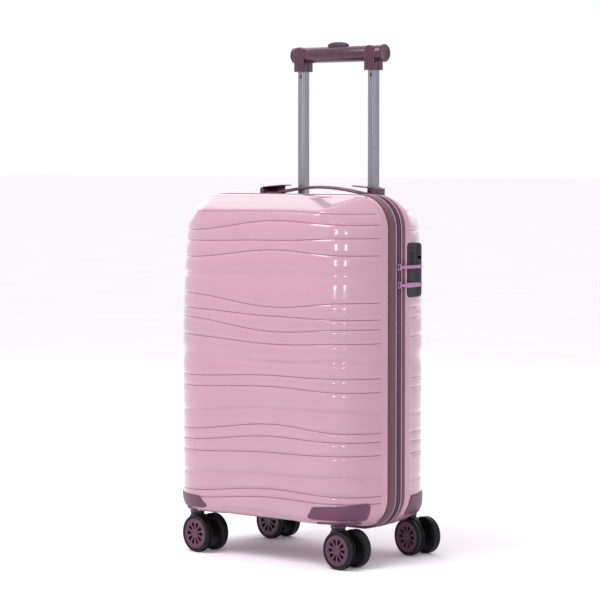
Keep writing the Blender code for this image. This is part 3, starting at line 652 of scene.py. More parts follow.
def make_shell(half, body, openings=()):
    """A half shell as one closed wall, with its lines, waves and smooth rim band moulded in, and shade painted
    into its lines.
    """
    places, flange = columns(half)
    heights, grooves, waves = shell_rows(half, places)
    base = recessed(shell_points(half, places, heights, flange))
    normals = outward(base, half)
    from_rim = np.abs(base[..., 1] - RIM[half])
    inside = step_up(from_rim, *RIM_BAND)
    edge = LIP * (1 - step_up(from_rim, 0.0, 0.0022))
    settle = BAND_STEP * inside
    sunk = waves * inside * (heights > WAVES_FROM) * (heights < WAVES_TO)
    sunk = sunk * (0.35 + 0.65 * step_up(from_rim, *WAVE_GROWTH))
    pressed = settle + sunk + GROOVE_DEPTH * grooves * inside
    if half == "front":
        pressed, settle = pressed + foot_recess(base), settle + foot_recess(base)
    outer = base - normals * (pressed + edge * 0.5)[..., None]
    inner = base - normals * (SHELL_WALL + settle + 0.8 * sunk)[..., None]
    inner[..., 1] = np.where(from_rim < FLANGE, base[..., 1], inner[..., 1])
    for layer in (outer, inner):
        between = 1 - step_up(np.abs(layer[..., 0]), *TUCK_ENDS)
        tucked = (1 - step_up(layer[..., 2], BOTTOM, TUCK_TOP)) * between
        layer[..., 2] += TUCK[half] * tucked
    points = np.concatenate([outer.reshape(-1, 3), inner.reshape(-1, 3)])
    mesh = mesh_from(half + "_shell", points, two_sided(*heights.shape))
    # Painted shade: the groove attribute marks the grooves, and the shell's finish darkens them.
    painted_groove_shade = mesh.attributes.new("groove", "FLOAT", "POINT")
    shade = np.broadcast_to(grooves, heights.shape) * inside
    painted_groove_shade.data.foreach_set("value", np.concatenate([shade.ravel(), 0 * shade.ravel()]).astype(np.float32))
    tidy(mesh, 2e-6)
    if openings:
        mesh = cut(mesh, openings)
    return dressed(half + "_half_shell", mesh, "glossy_pink_polypropylene", body,
                   [half + "_shell"], 60)


# ---------------------------------------------------------------- repeating things, with Geometry Nodes

def new_tree(name, inputs):
    """A Geometry Nodes group with one geometry in, one out, and named inputs."""
    tree = bpy.data.node_groups.new(name, "GeometryNodeTree")
    tree.interface.new_socket("Geometry", in_out="INPUT", socket_type="NodeSocketGeometry")
    tree.interface.new_socket("Geometry", in_out="OUTPUT", socket_type="NodeSocketGeometry")
    for label, kind in inputs:
        tree.interface.new_socket(label, in_out="INPUT", socket_type=kind)
    source = tree.nodes.new("NodeGroupInput")
    sink = tree.nodes.new("NodeGroupOutput")
    return tree, source.outputs, sink.inputs


def finish_tree(tree, geometry, source, sink):
    """Ends a tree: real geometry with the finish that is fed in."""
    real = node(tree, "GeometryNodeRealizeInstances", {"Geometry": geometry})
    coated = node(tree, "GeometryNodeSetMaterial", {"Geometry": real.outputs[0], "Material": source["Finish"]})
    tree.links.new(coated.outputs[0], sink["Geometry"])
    return tree


def beads_tree():
    """Rounded beads every Pitch along a path, each Size long, wide and high, lying across the Y axis."""
    tree, source, sink = new_tree("beads_along_path", [("Pitch", "NodeSocketFloat"),
                                                       ("Size", "NodeSocketVector"),
                                                       ("Finish", "NodeSocketMaterial")])
    curve = node(tree, "GeometryNodeMeshToCurve", {"Mesh": source["Geometry"]})
    spaced = node(tree, "GeometryNodeResampleCurve", {"Curve": curve.outputs[0], "Length": source["Pitch"]},
                  mode="LENGTH")
    bead = node(tree, "GeometryNodeMeshUVSphere", {"Segments": 8, "Rings": 5, "Radius": 0.5})
    smooth = node(tree, "GeometryNodeSetShadeSmooth", {"Geometry": bead.outputs["Mesh"]})
    tangent = node(tree, "GeometryNodeInputTangent").outputs[0]
    along = node(tree, "FunctionNodeAlignRotationToVector", {"Vector": tangent}, axis="X")
    facing = node(tree, "FunctionNodeAlignRotationToVector",
                  {"Rotation": along.outputs[0], "Vector": (0, 1, 0)}, axis="Y", pivot_axis="X")
    copies = node(tree, "GeometryNodeInstanceOnPoints",
                  {"Points": spaced.outputs[0], "Instance": smooth.outputs[0], "Rotation": facing.outputs[0],
                   "Scale": source["Size"]})
    return finish_tree(tree, copies.outputs[0], source, sink)


def around_tree():
    """Count copies of a piece, turned evenly about the Z axis and welded where they meet."""
    tree, source, sink = new_tree("copies_around_axis", [("Count", "NodeSocketInt"),
                                                         ("Weld", "NodeSocketFloat"),
                                                         ("Finish", "NodeSocketMaterial")])
    line = node(tree, "GeometryNodeMeshLine", {"Count": source["Count"], "Offset": (0, 0, 0)})
    number = node(tree, "GeometryNodeInputIndex").outputs[0]
    step = node(tree, "ShaderNodeMath", {0: 2 * math.pi, 1: source["Count"]}, operation="DIVIDE")
    turn = node(tree, "ShaderNodeMath", {0: number, 1: step.outputs[0]}, operation="MULTIPLY")
    angles = node(tree, "ShaderNodeCombineXYZ", {"Z": turn.outputs[0]})
    copies = node(tree, "GeometryNodeInstanceOnPoints",
                  {"Points": line.outputs[0], "Instance": source["Geometry"], "Rotation": angles.outputs[0]})
    real = node(tree, "GeometryNodeRealizeInstances", {"Geometry": copies.outputs[0]})
    welded = node(tree, "GeometryNodeMergeByDistance",
                  {"Geometry": real.outputs[0], "Distance": source["Weld"]})
    return finish_tree(tree, welded.outputs[0], source, sink)


def grown(name, mesh, tree, **values):
    """The plain mesh that a Geometry Nodes tree makes from a mesh."""
    holder = bpy.data.objects.new(name, mesh)
    bpy.context.scene.collection.objects.link(holder)
    modifier = holder.modifiers.new("repeat", "NODES")
    modifier.node_group = tree
    for item in tree.interface.items_tree:
        if item.in_out == "INPUT" and item.name in values:
            modifier[item.identifier] = values[item.name]
    bpy.context.view_layer.update()
    result = bpy.data.meshes.new_from_object(holder.evaluated_get(bpy.context.evaluated_depsgraph_get()))
    result.name = name
    holder.modifiers.clear()
    bpy.data.objects.remove(holder)
    return result


def polyline(points, closed=True):
    """A mesh of edges only, for a tree that follows a path."""
    mesh = bpy.data.meshes.new("path")
    edges = [(i, i + 1) for i in range(len(points) - 1)] + ([(len(points) - 1, 0)] if closed else [])
    mesh.from_pydata([tuple(p) for p in points], edges, [])
    return mesh


# ---------------------------------------------------------------- band and zip

CLOTH_STEP = 0.016  # longest facet of the band's straight sides
CLOTH_TURN = 0.0065  # how far the gussets' edges are turned in
WELT_RADIUS = 0.0008
WELT_INSET = 0.0011  # from the gusset's zip edge to the middle of the welt
STITCH_INSETS = (0.0032, 0.0022)  # of the rows of stitches from the zip edge and from the rim edge
STITCH_PITCH, STITCH = 0.0042, (0.0030, 0.0006, 0.0006)
TAPE_INSET, TAPE_TURN = 0.0018, 0.0032  # how deep the zip tape lies, and how far its edges are turned in
COIL_PITCH, COIL_TURN = 0.0022, (0.0012, 0.0024, 0.0015)
COIL_INSET, COIL_APART = 0.0011, 0.0013

def rim_path(y, inset=0.0):
    """Points round the rims' outline at a depth y, evenly enough for cloth."""
    half_h = (TOP - BOTTOM) / 2 - inset
    centre = (TOP + BOTTOM) / 2
    corners = rounded_rectangle(HALF_WIDTH - inset, half_h, RIM_CORNER - inset, 14)
    points = []
    for first, second in zip(corners, corners[1:] + corners[:1]):
        length = math.dist(first, second)
        count = round(length / CLOTH_STEP) if length > 0.02 else 1
        for k in range(count):
            t = k / count
            points.append((first[0] + (second[0] - first[0]) * t, y,
                           centre + first[1] + (second[1] - first[1]) * t))
    return points


def ring_sweep(name, points, section):
    """Carries a section of (depth, outwards) round a path of rim points, with its length as UV."""
    centre = Vector((0, 0, (TOP + BOTTOM) / 2))
    path = [Vector(p) for p in points]
    rings, lengths, run = [], [], 0.0
    for i in range(len(path) + 1):
        point = path[i % len(path)]
        along = (path[(i + 1) % len(path)] - path[(i - 1) % len(path)]).normalized()
        out = Vector((0, 1, 0)).cross(along).normalized()
        if out.dot(point - centre) < 0:
            out = -out
        rings.append([point + Vector((0, a, 0)) + out * b for a, b in section])
        lengths.append(run)
        run += (path[(i + 1) % len(path)] - point).length
    count = len(section)
    mesh = mesh_from(name, [p for ring in rings for p in ring], grid_faces(len(rings), count, True))
    around = np.cumsum([0] + [math.dist(a, b) for a, b in zip(section, section[1:] + section[:1])])
    layer = mesh.uv_layers.new(name="cloth")
    uvs = []
    for i in range(len(rings) - 1):
        for j in range(count):
            for ring, column in ((i, j), (i, j + 1), (i + 1, j + 1), (i + 1, j)):
                uvs += [lengths[ring], around[column]]
    layer.data.foreach_set("uv", np.array(uvs, np.float32))
    return tidy(mesh)


def band_section(low, high, thick, crown, edge=0.0006, steps=10):
    """A strip's section: flat under, rounded at its edges and a little crowned on top."""
    middle, half = (low + high) / 2, (high - low) / 2
    top = []
    for k in range(steps + 1):
        t = -1 + 2 * k / steps
        top.append((middle + half * t, -edge * abs(t) ** 9 + crown * (1 - t * t)))
    return [(low, -thick)] + top + [(high, -thick)]


def make_gusset(which, body, beads):
    """One fabric side of the band: its cloth, a raised welt along the zip edge, and two rows of stitches."""
    low, high = (corner.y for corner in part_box(which + "_gusset"))
    toward_zip = 1 if which == "front" else -1
    cloth = ring_sweep(which + "_gusset", rim_path(0), band_section(low, high, CLOTH_TURN, 0.0006))
    band = dressed(which + "_gusset_cloth", cloth, "plum_woven_polyester", body,
                   [which + "_gusset"])
    zip_edge = high if toward_zip > 0 else low
    welt_section = circle(WELT_RADIUS, 10, (zip_edge - toward_zip * WELT_INSET, 0.0001))
    welt = ring_sweep("welt", rim_path(0), welt_section)
    dressed(which + "_gusset_welt", welt, "light_piping", body)
    rim_edge = low if toward_zip > 0 else high
    rows = []
    from_zip, from_rim = STITCH_INSETS
    for place in (zip_edge - toward_zip * from_zip, rim_edge + toward_zip * from_rim):
        path = polyline(rim_path(place, -0.0004))
        rows.append(grown("stitches", path, beads, Pitch=STITCH_PITCH, Size=STITCH,
                          Finish=FINISH["plum_thread"]))
    dressed(which + "_gusset_stitches", joined("stitches", rows), "plum_thread", body)


def make_zip_side(which, body, beads):
    """A zip tape and its half of the nylon coil."""
    low, high = (corner.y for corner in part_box(which + "_zip_tape"))
    toward_zip = 1 if which == "front" else -1
    section = band_section(low, high, TAPE_TURN, 0.0002, 0.0003, 4)
    tape = ring_sweep(which + "_zip_tape", rim_path(0, TAPE_INSET), section)
    made = dressed(which + "_tape_cloth", tape, "zip_tape_polyester", body, [which + "_zip_tape"])
    middle = (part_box("front_zip_tape")[1].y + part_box("rear_zip_tape")[0].y) / 2
    path = rim_path(middle - toward_zip * COIL_APART, COIL_INSET)
    if which == "rear":
        path = shifted(path, COIL_PITCH / 2)
    coil = grown("coil", polyline(path), beads, Pitch=COIL_PITCH, Size=COIL_TURN,
                 Finish=FINISH["dark_nylon_coil"])
    dressed(which + "_zip_coil", coil, "dark_nylon_coil", body)


def shifted(path, distance):
    """The same closed path, starting a little further along."""
    first, second = Vector(path[0]), Vector(path[1])
    return [tuple(first.lerp(second, distance / (second - first).length))] + path[1:] + [path[0]]


# ---------------------------------------------------------------- wheel housings and casters

def lifted(half, u, z, lift):
    """Points a little above the half shell's surface, at places along it and heights."""
    u, z = np.asarray(u, float), np.asarray(z, float)
    step = 0.0008
    along = shell_points(half, u + step, z) - shell_points(half, u - step, z)
    up = shell_points(half, u, z + step) - shell_points(half, u, z - step)
    normal = np.cross(along, up) * (1 if half == "front" else -1)
    normal /= np.maximum(np.linalg.norm(normal, axis=-1, keepdims=True), 1e-12)
    return shell_points(half, u, z) + normal * np.asarray(lift)[..., None]


def softened(corners, radius, steps=6):
    """A closed outline with its corners rounded."""
    outline = []
    for i, corner in enumerate(corners):
        corner, before, after = Vector(corner), Vector(corners[i - 1]), Vector(corners[(i + 1) % len(corners)])
        start = corner + (before - corner).normalized() * radius
        end = corner + (after - corner).normalized() * radius
        for k in range(steps + 1):
            t = k / steps
            outline.append(tuple(start * (1 - t) ** 2 + corner * 2 * t * (1 - t) + end * t ** 2))
    return outline


def divided(outline, longest):
    """The same closed outline with its long edges split."""
    points = []
    for first, second in zip(outline, outline[1:] + outline[:1]):
        count = max(1, math.ceil(math.dist(first, second) / longest))
        points += [tuple(Vector(first).lerp(Vector(second), k / count)) for k in range(count)]
    return points


def surface_plate(name, half, outline, proud, sunk, edge=0.0012):
    """A plate that follows the half shell's surface inside an outline of (place along it, height)."""
    outline = divided(outline, PLATE_FACET)
    directions = np.array(inset_directions(outline))
    outline = np.array(outline)
    middle = (outline.min(axis=0) + outline.max(axis=0)) / 2
    rings, lifts = [], []
    for inset, lift in ((0, -sunk), (0, proud - edge), (edge * 0.12, proud - edge * 0.5),
                        (edge * 0.45, proud - edge * 0.12), (edge, proud)):
        rings.append(outline + directions * inset)
        lifts.append(lift)
    for share in (0.85, 0.68, 0.50, 0.32, 0.15):
        rings.append(middle + (rings[4] - middle) * share)
        lifts.append(proud)
    count = len(outline)
    points = [lifted(half, ring[:, 0], ring[:, 1], np.full(count, lift)) for ring, lift in zip(rings, lifts)]
    points.append(lifted(half, [middle[0]], [middle[1]], [proud]))
    points.append(lifted(half, [middle[0]], [middle[1]], [-sunk]))
    faces = grid_faces(len(rings), count, True)
    last = (len(rings) - 1) * count
    for j in range(count):
        k = (j + 1) % count
        faces.append((last + j, last + k, last + count))
        faces.append((k, j, last + count + 1))
    return tidy(mesh_from(name, np.concatenate(points), faces))


# Outlines of the housings' plates in metres: (place along the shell, height) at their corners.
HOUSING_PLATES = {
    "front_right": [(0.1070, 0.0705), (0.1975, 0.0685), (0.1975, 0.0940), (0.1070, 0.0885)],
    "front_left": [(-0.1020, 0.0695), (-0.1890, 0.0665), (-0.1890, 0.0870), (-0.1075, 0.0875)],
    "rear_right": [(0.1035, 0.0670), (0.2250, 0.0680), (0.2215, 0.0965), (0.1035, 0.0980)],
    "rear_left": [(-0.1035, 0.0670), (-0.2250, 0.0680), (-0.2215, 0.0965), (-0.1035, 0.0980)],
}
PLATE_FACET = 0.004
PLATE_CORNER, PLATE_PROUD, PLATE_SUNK = 0.0060, 0.0013, 0.0012
UNDER_LOW, UNDER_HIGH = 0.0640, RECESS + 0.0005
UNDER_START, UNDER_END = CASTER_X - 0.0200, 0.2200
UNDER_INNER = CASTER_Y - 0.0165
COLLAR = [(0.0001, 0.0572), (0.0104, 0.0572), (0.0112, 0.0580), (0.0113, 0.0612), (0.0120, 0.0622),
          (0.0146, 0.0636), (0.0152, 0.0646), (0.0150, 0.0670), (0.0001, 0.0670)]


def under_plate(half, hand):
    """The part of a housing under the shell: it fills the recess over the caster."""
    along = hand * np.linspace(UNDER_START, UNDER_END, 40)
    edge = lifted(half, along, np.full(40, UNDER_HIGH), np.full(40, -0.0008))
    inner = SIGN[half] * UNDER_INNER
    outline = [(x, y) for x, y, _ in edge if abs(y) > UNDER_INNER]
    outline += [(outline[-1][0], inner), (hand * UNDER_START, inner)]
    return slab("under", outline, UNDER_LOW, UNDER_HIGH, "Z", 0.0006, 2)


def make_housing(corner):
    """The plate over a lower corner, and the round collar that its caster turns in."""
    half = corner.split("_")[0]
    hand = 1 if corner.endswith("right") else -1
    outline = softened(HOUSING_PLATES[corner], PLATE_CORNER)
    plate = surface_plate("plate", half, outline, PLATE_PROUD, PLATE_SUNK)
    x, y, _ = JOINTS["swivel_" + corner]["pos_m"]
    collar = turned("collar", COLLAR, 40, "Z", (x, y, 0), False)
    body = "case_front" if half == "front" else "case_back"
    name = "wheel_housing_" + corner
    cover = joined(name, [plate, under_plate(half, hand), collar])
    dressed(name + "_cover", cover, "plum_moulded_plastic", body, [name])


FORK_HALF = 0.0084
WHEEL_RADIUS = 0.028
HALF_WHEEL = 0.00615
AXLE_RADIUS, AXLE_HALF = 0.0024, 0.0215
FORK_EYE = 0.0102  # radius of the fork's end round the axle
FORK_NECK = [(0.0150, 0.0500), (0.0100, 0.0545), (-0.0060, 0.0545), (-0.0098, 0.0510), (-0.0092, 0.0460),
             (0.0020, 0.0330)]
FORK_DISC = [(0.0001, 0.0500), (0.0098, 0.0500), (0.0104, 0.0506), (0.0104, 0.0562), (0.0098, 0.0568),
             (0.0001, 0.0568)]


def make_fork(corner):
    """The swivelling fork: a round head, a core between the wheels and a stub of axle to each side."""
    head = JOINTS["swivel_" + corner]["pos_m"]
    wheel_a, wheel_b = (Vector(JOINTS[f"spin_{corner}_{side}"]["pos_m"]) for side in "ab")
    axle = (wheel_a + wheel_b) / 2
    across = (wheel_b - wheel_a).normalized()
    ahead = Vector((axle.x - head[0], axle.y - head[1], 0))
    trail = ahead.length
    place = Matrix.Translation((head[0], head[1], 0)) @ Matrix(
        ((ahead.x / trail, across.x, 0, 0), (ahead.y / trail, across.y, 0, 0), (0, 0, 1, 0), (0, 0, 0, 1)))
    outline = [(trail + FORK_EYE * math.cos(t), WHEEL_RADIUS + FORK_EYE * math.sin(t))
               for t in (math.radians(a) for a in range(-125, 66, 10))]
    core = slab("core", divided(outline + FORK_NECK, 0.006), -FORK_HALF, FORK_HALF, "Y", 0.0012)
    disc = turned("disc", FORK_DISC, 36, "Z", closed=False)
    axles = turned("axle", rod(AXLE_RADIUS, AXLE_HALF), 20, "Y", (trail, 0, WHEEL_RADIUS), False)
    fork = joined("fork", [core, disc, axles])
    fork.transform(place)
    name = "caster_fork_" + corner
    dressed(name + "_body", tidy(fork), "black_nylon", "caster_" + corner, [name])


SLOT_IN, SLOT_OUT = (0.0080, 0.0008), (0.0141, 0.0027)  # centres and radii of a slot's two ends
SPOKES_IN, SPOKES_OUT = 0.0060, 0.0174
SLOT_COUNT = 10
SLOT_ORIGIN = 0.0122  # rays from here meet each slot's edge and its sector's edge once
PLATE_BACK = -0.0026
SLOT_BEVEL = ((0.00045, 0.0), (0.0, -0.0005), (-0.0001, PLATE_BACK))


def in_slot(x, y):
    """Tells whether a place on the hub lies in the slot: two circles and all that is between them."""
    for k in range(25):
        t = k / 24
        centre = SLOT_IN[0] + (SLOT_OUT[0] - SLOT_IN[0]) * t
        if math.hypot(x - centre, y) < SLOT_IN[1] + (SLOT_OUT[1] - SLOT_IN[1]) * t:
            return True
    return False


def in_sector(x, y):
    """Tells whether a place on the hub lies in the first slot's share of the disc."""
    return SPOKES_IN < math.hypot(x, y) < SPOKES_OUT and abs(math.atan2(y, x)) < math.pi / SLOT_COUNT


def reach(inside, origin, turn):
    """How far a ray goes from its origin before it leaves a shape."""
    near, far = 0.0, 0.02
    for _ in range(30):
        middle = (near + far) / 2
        if inside(origin + middle * math.cos(turn), middle * math.sin(turn)):
            near = middle
        else:
            far = middle
    return near


def spoke_sector():
    """One slot with the plate round it: a sector of the hub's disc, its outer face at z = 0."""
    half = math.pi / SLOT_COUNT
    corners = [math.atan2(r * math.sin(half), r * math.cos(half) - SLOT_ORIGIN)
               for r in (SPOKES_OUT, SPOKES_IN)]
    stops = [0, *corners, math.pi]
    turns = []
    for first, second, count in zip(stops, stops[1:], (4, 6, 4)):
        turns += [first + (second - first) * k / count for k in range(count)]
    turns += [math.pi] + [-t for t in reversed(turns[1:])]
    edge = [reach(in_sector, SLOT_ORIGIN, t) for t in turns]
    hole = [reach(in_slot, SLOT_ORIGIN, t) for t in turns]
    rings = []
    bevel = [(hole, *step) for step in SLOT_BEVEL]
    for distances, grow, z in ((edge, 0.0, PLATE_BACK), (edge, 0.0, 0.0), *bevel):
        rings.append([(SLOT_ORIGIN + (d + grow) * math.cos(t), (d + grow) * math.sin(t), z)
                      for d, t in zip(distances, turns)])
    points = [p for ring in rings for p in ring]
    faces = grid_faces(len(rings), len(turns), True)[len(turns):]
    mesh = mesh_from("sector", points, faces)
    mesh.shade_smooth()
    return mesh


RIM_RING = [(0.0168, -0.0030), (0.0168, -0.0002), (0.0171, 0.0002), (0.0180, 0.0003), (0.0226, 0.0001),
            (0.0231, -0.0004), (0.0232, -0.0012), (0.0232, -0.0030)]
BOSS = [(0.0001, -0.0030), (0.0066, -0.0030), (0.0066, 0.0003), (0.0061, 0.0009), (0.0042, 0.0009),
        (0.0036, 0.0004), (0.0001, 0.0004)]
TREAD_ROUND = 0.0024
HUB_DEPTH = 0.0006  # how far the hub's face lies inside the tyre's side
TYRE_BORE = 0.0030


def tyre_profile():
    """The lathe profile of a tyre and its core, dished on the inside and open for the hub's disc outside; the
    core's black face behind the hub's slots is a dark disc that paints the shade inside them.
    """
    half, edge, radius = HALF_WHEEL, TREAD_ROUND, WHEEL_RADIUS
    shoulder = [(radius - edge + edge * math.sin(t), half - edge + edge * math.cos(t))
                for t in (math.pi / 2 * k / 5 for k in range(6))]
    inner = [(r, -z) for r, z in reversed(shoulder)]
    # Painted shade: the core's outer face lies black just behind the hub, so that the hub's slots show black.
    return [(TYRE_BORE, -half + 0.0012), (0.0200, -half + 0.0012), (0.0215, -half), *inner, *shoulder[::-1],
            (0.0236, half), (0.0234, half - 0.0004), (0.0234, half - 0.0042), (TYRE_BORE, half - 0.0042)]


def make_wheels(corner, spokes):
    """Both wheels of a caster: a black tyre with its core, and a plum hub disc with ten slots."""
    wheel_a, wheel_b = (Vector(JOINTS[f"spin_{corner}_{side}"]["pos_m"]) for side in "ab")
    across = (wheel_b - wheel_a).normalized()
    for side, centre, out in (("a", wheel_a, -across), ("b", wheel_b, across)):
        ahead = Vector((0, 0, 1)).cross(out)
        place = Matrix.Translation(centre) @ Matrix(
            ((ahead.x, 0, out.x, 0), (ahead.y, 0, out.y, 0), (0, 1, 0, 0), (0, 0, 0, 1)))
        label = f"{corner}_{side}"
        tyre = turned("tyre", tyre_profile(), 64)
        ring = turned("ring", RIM_RING, 60)
        boss = turned("boss", BOSS, 36, closed=False)
        hub = joined("hub", [ring, boss, spokes])
        hub.transform(Matrix.Translation((0, 0, HALF_WHEEL - HUB_DEPTH)))
        for mesh in (tyre, hub):
            mesh.transform(place)
            if place.determinant() < 0:
                mesh.flip_normals()
        body = "wheel_" + label
        dressed(f"tyre_{label}_tread", tyre, "black_polyurethane", body, ["tyre_" + label])
        dressed(f"hub_{label}_disc", hub, "plum_hub_plastic", body, ["hub_" + label])


# ---------------------------------------------------------------- zip sliders and pulls

SLIDER_PLATE = [(-0.0042, -0.0052), (0.0042, -0.0052), (0.0030, 0.0055), (-0.0030, 0.0055)]
SLIDER_BACK, SLIDER_FACE = 0.1848, 0.1866
BRIDGE_FOOT, BRIDGE_RISE, BRIDGE_HALF = 0.1862, 0.0030, 0.0043
PULL_EYE = [(0.0013, -0.0016), (0.0024, -0.0016), (0.0026, -0.0012), (0.0026, 0.0012), (0.0024, 0.0016),
            (0.0013, 0.0016)]
# Half the width of each pull along it, from its eye to its tip, and how far it hangs off its pin's middle.
PULLS = {
    "upper": ([(0.0008, 0.0018), (0.0050, 0.0024), (0.0200, 0.0024), (0.0420, 0.0024), (0.0495, 0.0020)], 0.0),
    "lower": ([(0.0008, 0.0018), (0.0070, 0.0026), (0.0170, 0.0036), (0.0330, 0.0034), (0.0455, 0.0026),
               (0.0495, 0.0014)], -0.0006),
}


def make_slider(which):
    """A zip slider: a plate with a domed bridge for its pull."""
    low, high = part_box("zip_slider_" + which)
    middle = (low + high) / 2
    pin = Vector(JOINTS[f"pull_{which}_hinge"]["pos_m"])
    outline = [(middle.y + a, middle.z + b) for a, b in softened(SLIDER_PLATE, 0.0016, 4)]
    plate = slab("plate", outline, SLIDER_BACK, SLIDER_FACE, "X", 0.0006)
    path = [(BRIDGE_FOOT + BRIDGE_RISE * math.sin(t), pin.y, pin.z - BRIDGE_HALF * math.cos(t))
            for t in (math.pi * k / 12 for k in range(13))]
    bridge = sweep("bridge", path, rounded_rectangle(0.0014, 0.0007, 0.0006, 3), False)
    dressed(f"zip_slider_{which}_body", joined("slider", [plate, bridge]), "mauve_lacquered_zinc",
            "slider_" + which, ["zip_slider_" + which])


def make_pull(which):
    """The flat tab of a zip pull, with the eye that it swings by."""
    pin = Vector(JOINTS[f"pull_{which}_hinge"]["pos_m"])
    halves, drop = PULLS[which]
    upper = [(pin.y + a, pin.z + b + drop) for a, b in halves]
    lower = [(pin.y + a, pin.z - b + drop) for a, b in reversed(halves)]
    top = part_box("zip_pull_" + which)[1].x
    tab = slab("tab", softened(lower + upper, 0.0009, 4), top - 0.0026, top - 0.0004, "X", 0.0006)
    eye = turned("eye", PULL_EYE, 24, "Z", pin)
    dressed(f"zip_pull_{which}_tab", joined("pull", [tab, eye]), "mauve_lacquered_zinc", "pull_" + which,
            ["zip_pull_" + which])


# ---------------------------------------------------------------- lock

LOCK_CORNER = 0.0062
RAIL_PLACE, RAIL_HALF, RAIL_THICK = 0.0425, 0.0052, 0.0030  # the raised strip beside the dials
PLAY = 0.0004  # round the release and the dials
KEYHOLE = (0.0235, 0.4630)
KEY_RING = [(0.0022, -0.0004), (0.0034, -0.0004), (0.0036, 0.0), (0.0034, 0.0004), (0.0022, 0.0004)]
RIB_PITCH, RIB_WIDE = 0.0025, 0.0012  # the ribs across the release


def make_lock(around):
    """The flush lock's black case, with windows for its three dials and a slot for the release."""
    low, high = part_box("lock_body")
    centre = ((low.y + high.y) / 2, (low.z + high.z) / 2)
    half_y, half_z = (high.y - low.y) / 2, (high.z - low.z) / 2
    outline = rounded_rectangle(half_y, half_z, LOCK_CORNER, 8, centre)
    body = slab("body", outline, low.x, high.x - 0.0006, "X", 0.0012, 4)
    strip = rounded_rectangle(RAIL_HALF, half_z - 0.0030, 0.0030, 6, (RAIL_PLACE, centre[1]))
    rail = slab("rail", strip, high.x - RAIL_THICK, high.x, "X", 0.0007)
    cutters = []
    dial_low, dial_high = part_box("lock_dial_1")
    axis = (dial_low + dial_high) / 2
    radius = (dial_high.x - dial_low.x) / 2
    width = (dial_high.z - dial_low.z) / 2 + 0.0003
    for number in (1, 2, 3):
        z = sum(corner.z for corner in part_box(f"lock_dial_{number}")) / 2
        cutters.append(turned("window", rod(radius + PLAY, width), 40, "Z", (axis.x, axis.y, z), False))
        make_dial(number, (axis.x, axis.y, z), radius, width - 0.0003, around)
    slide_low, slide_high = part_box("lock_release")
    travel = JOINTS["lock_release_press"]["range_m"][1]
    cutters.append(rounded_box("slot", (slide_low.x - 0.0005, slide_low.y - PLAY, slide_low.z - travel - PLAY),
                               (slide_high.x + 0.01, slide_high.y + PLAY, slide_high.z + PLAY), 0.0008))
    case = cut(cut(body, [rail], "UNION"), cutters)
    ring = turned("keyhole", KEY_RING, 32, "X", (high.x - 0.0007, *KEYHOLE))
    dressed("lock_case", joined("lock", [case, ring]), "black_abs", "case_back", ["lock_body"])


def make_release():
    """The lock's release: a small block with four ribs for the thumb."""
    low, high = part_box("lock_release")
    button = rounded_box("release", low, high, 0.0010, 4)
    ribs = []
    for k in range(4):
        start = low.z + 0.0035 + k * RIB_PITCH
        ribs.append(rounded_box("rib", (high.x - 0.0012, low.y + 0.0010, start),
                                (high.x + 0.0004, high.y - 0.0010, start + RIB_WIDE), 0.0005))
    dressed("lock_release_slide", joined("release", [button] + ribs), "black_abs", "lock_release",
            ["lock_release"])


def make_dial(number, centre, radius, width, around):
    """A lock's dial: a drum with twenty ribs."""
    core, bevel = radius - 0.0005, 0.0005
    drum = turned("drum", [(0.0010, -width), (core - bevel, -width), (core, -width + 0.0004),
                           (core, width - 0.0004), (core - bevel, width), (0.0010, width)], 40)
    rib = rounded_box("rib", (radius - 0.0012, -0.0006, -width + 0.0006),
                      (radius - 0.0001, 0.0006, width - 0.0006), 0.0004, 2)
    ribs = grown("ribs", rib, around, Count=20, Weld=0.00001, Finish=FINISH["black_abs"])
    mesh = joined("dial", [drum, ribs])
    mesh.transform(Matrix.Translation(centre))
    dressed(f"lock_dial_{number}_drum", mesh, "black_abs", f"dial_{number}",
            [f"lock_dial_{number}"])


# ---------------------------------------------------------------- trolley

TUBE_WALL = 0.0009
TUBE_CORNERS = {"outer": 0.0026, "middle": 0.0026, "inner": 0.0012}
INNER_SWELL = 0.00022  # the inner tubes are drawn this much fuller than their CAD solids
TUBE_GROOVES = {"outer": 0.0, "middle": 0.0, "inner": 0.0005}
GROOVE_SHARE, GROOVE_OPEN = 0.42, 0.0006  # place of the groove across the half face, and half its width
PIN_SLOT_HALF, PIN_SLOT_DROP = (0.0012, 0.0034), 0.0205
TUBE_BODIES = {"outer": "case_back", "middle": "trolley_middle", "inner": "trolley_top"}


def tube_outline(half_x, half_y, centre, radius, groove=0.0):
    """A tube's section, with a fine groove along its front and back if asked."""
    outline = rounded_rectangle(half_x, half_y, radius, 5, centre)
    if not groove:
        return outline
    place = centre[0] + half_x * GROOVE_SHARE
    back = [(place + GROOVE_OPEN, centre[1] + half_y), (place, centre[1] + half_y - groove),
            (place - GROOVE_OPEN, centre[1] + half_y)]
    front = [(x, 2 * centre[1] - y) for x, y in reversed(back)]
    return outline[:6] + back + outline[6:18] + front + outline[18:]


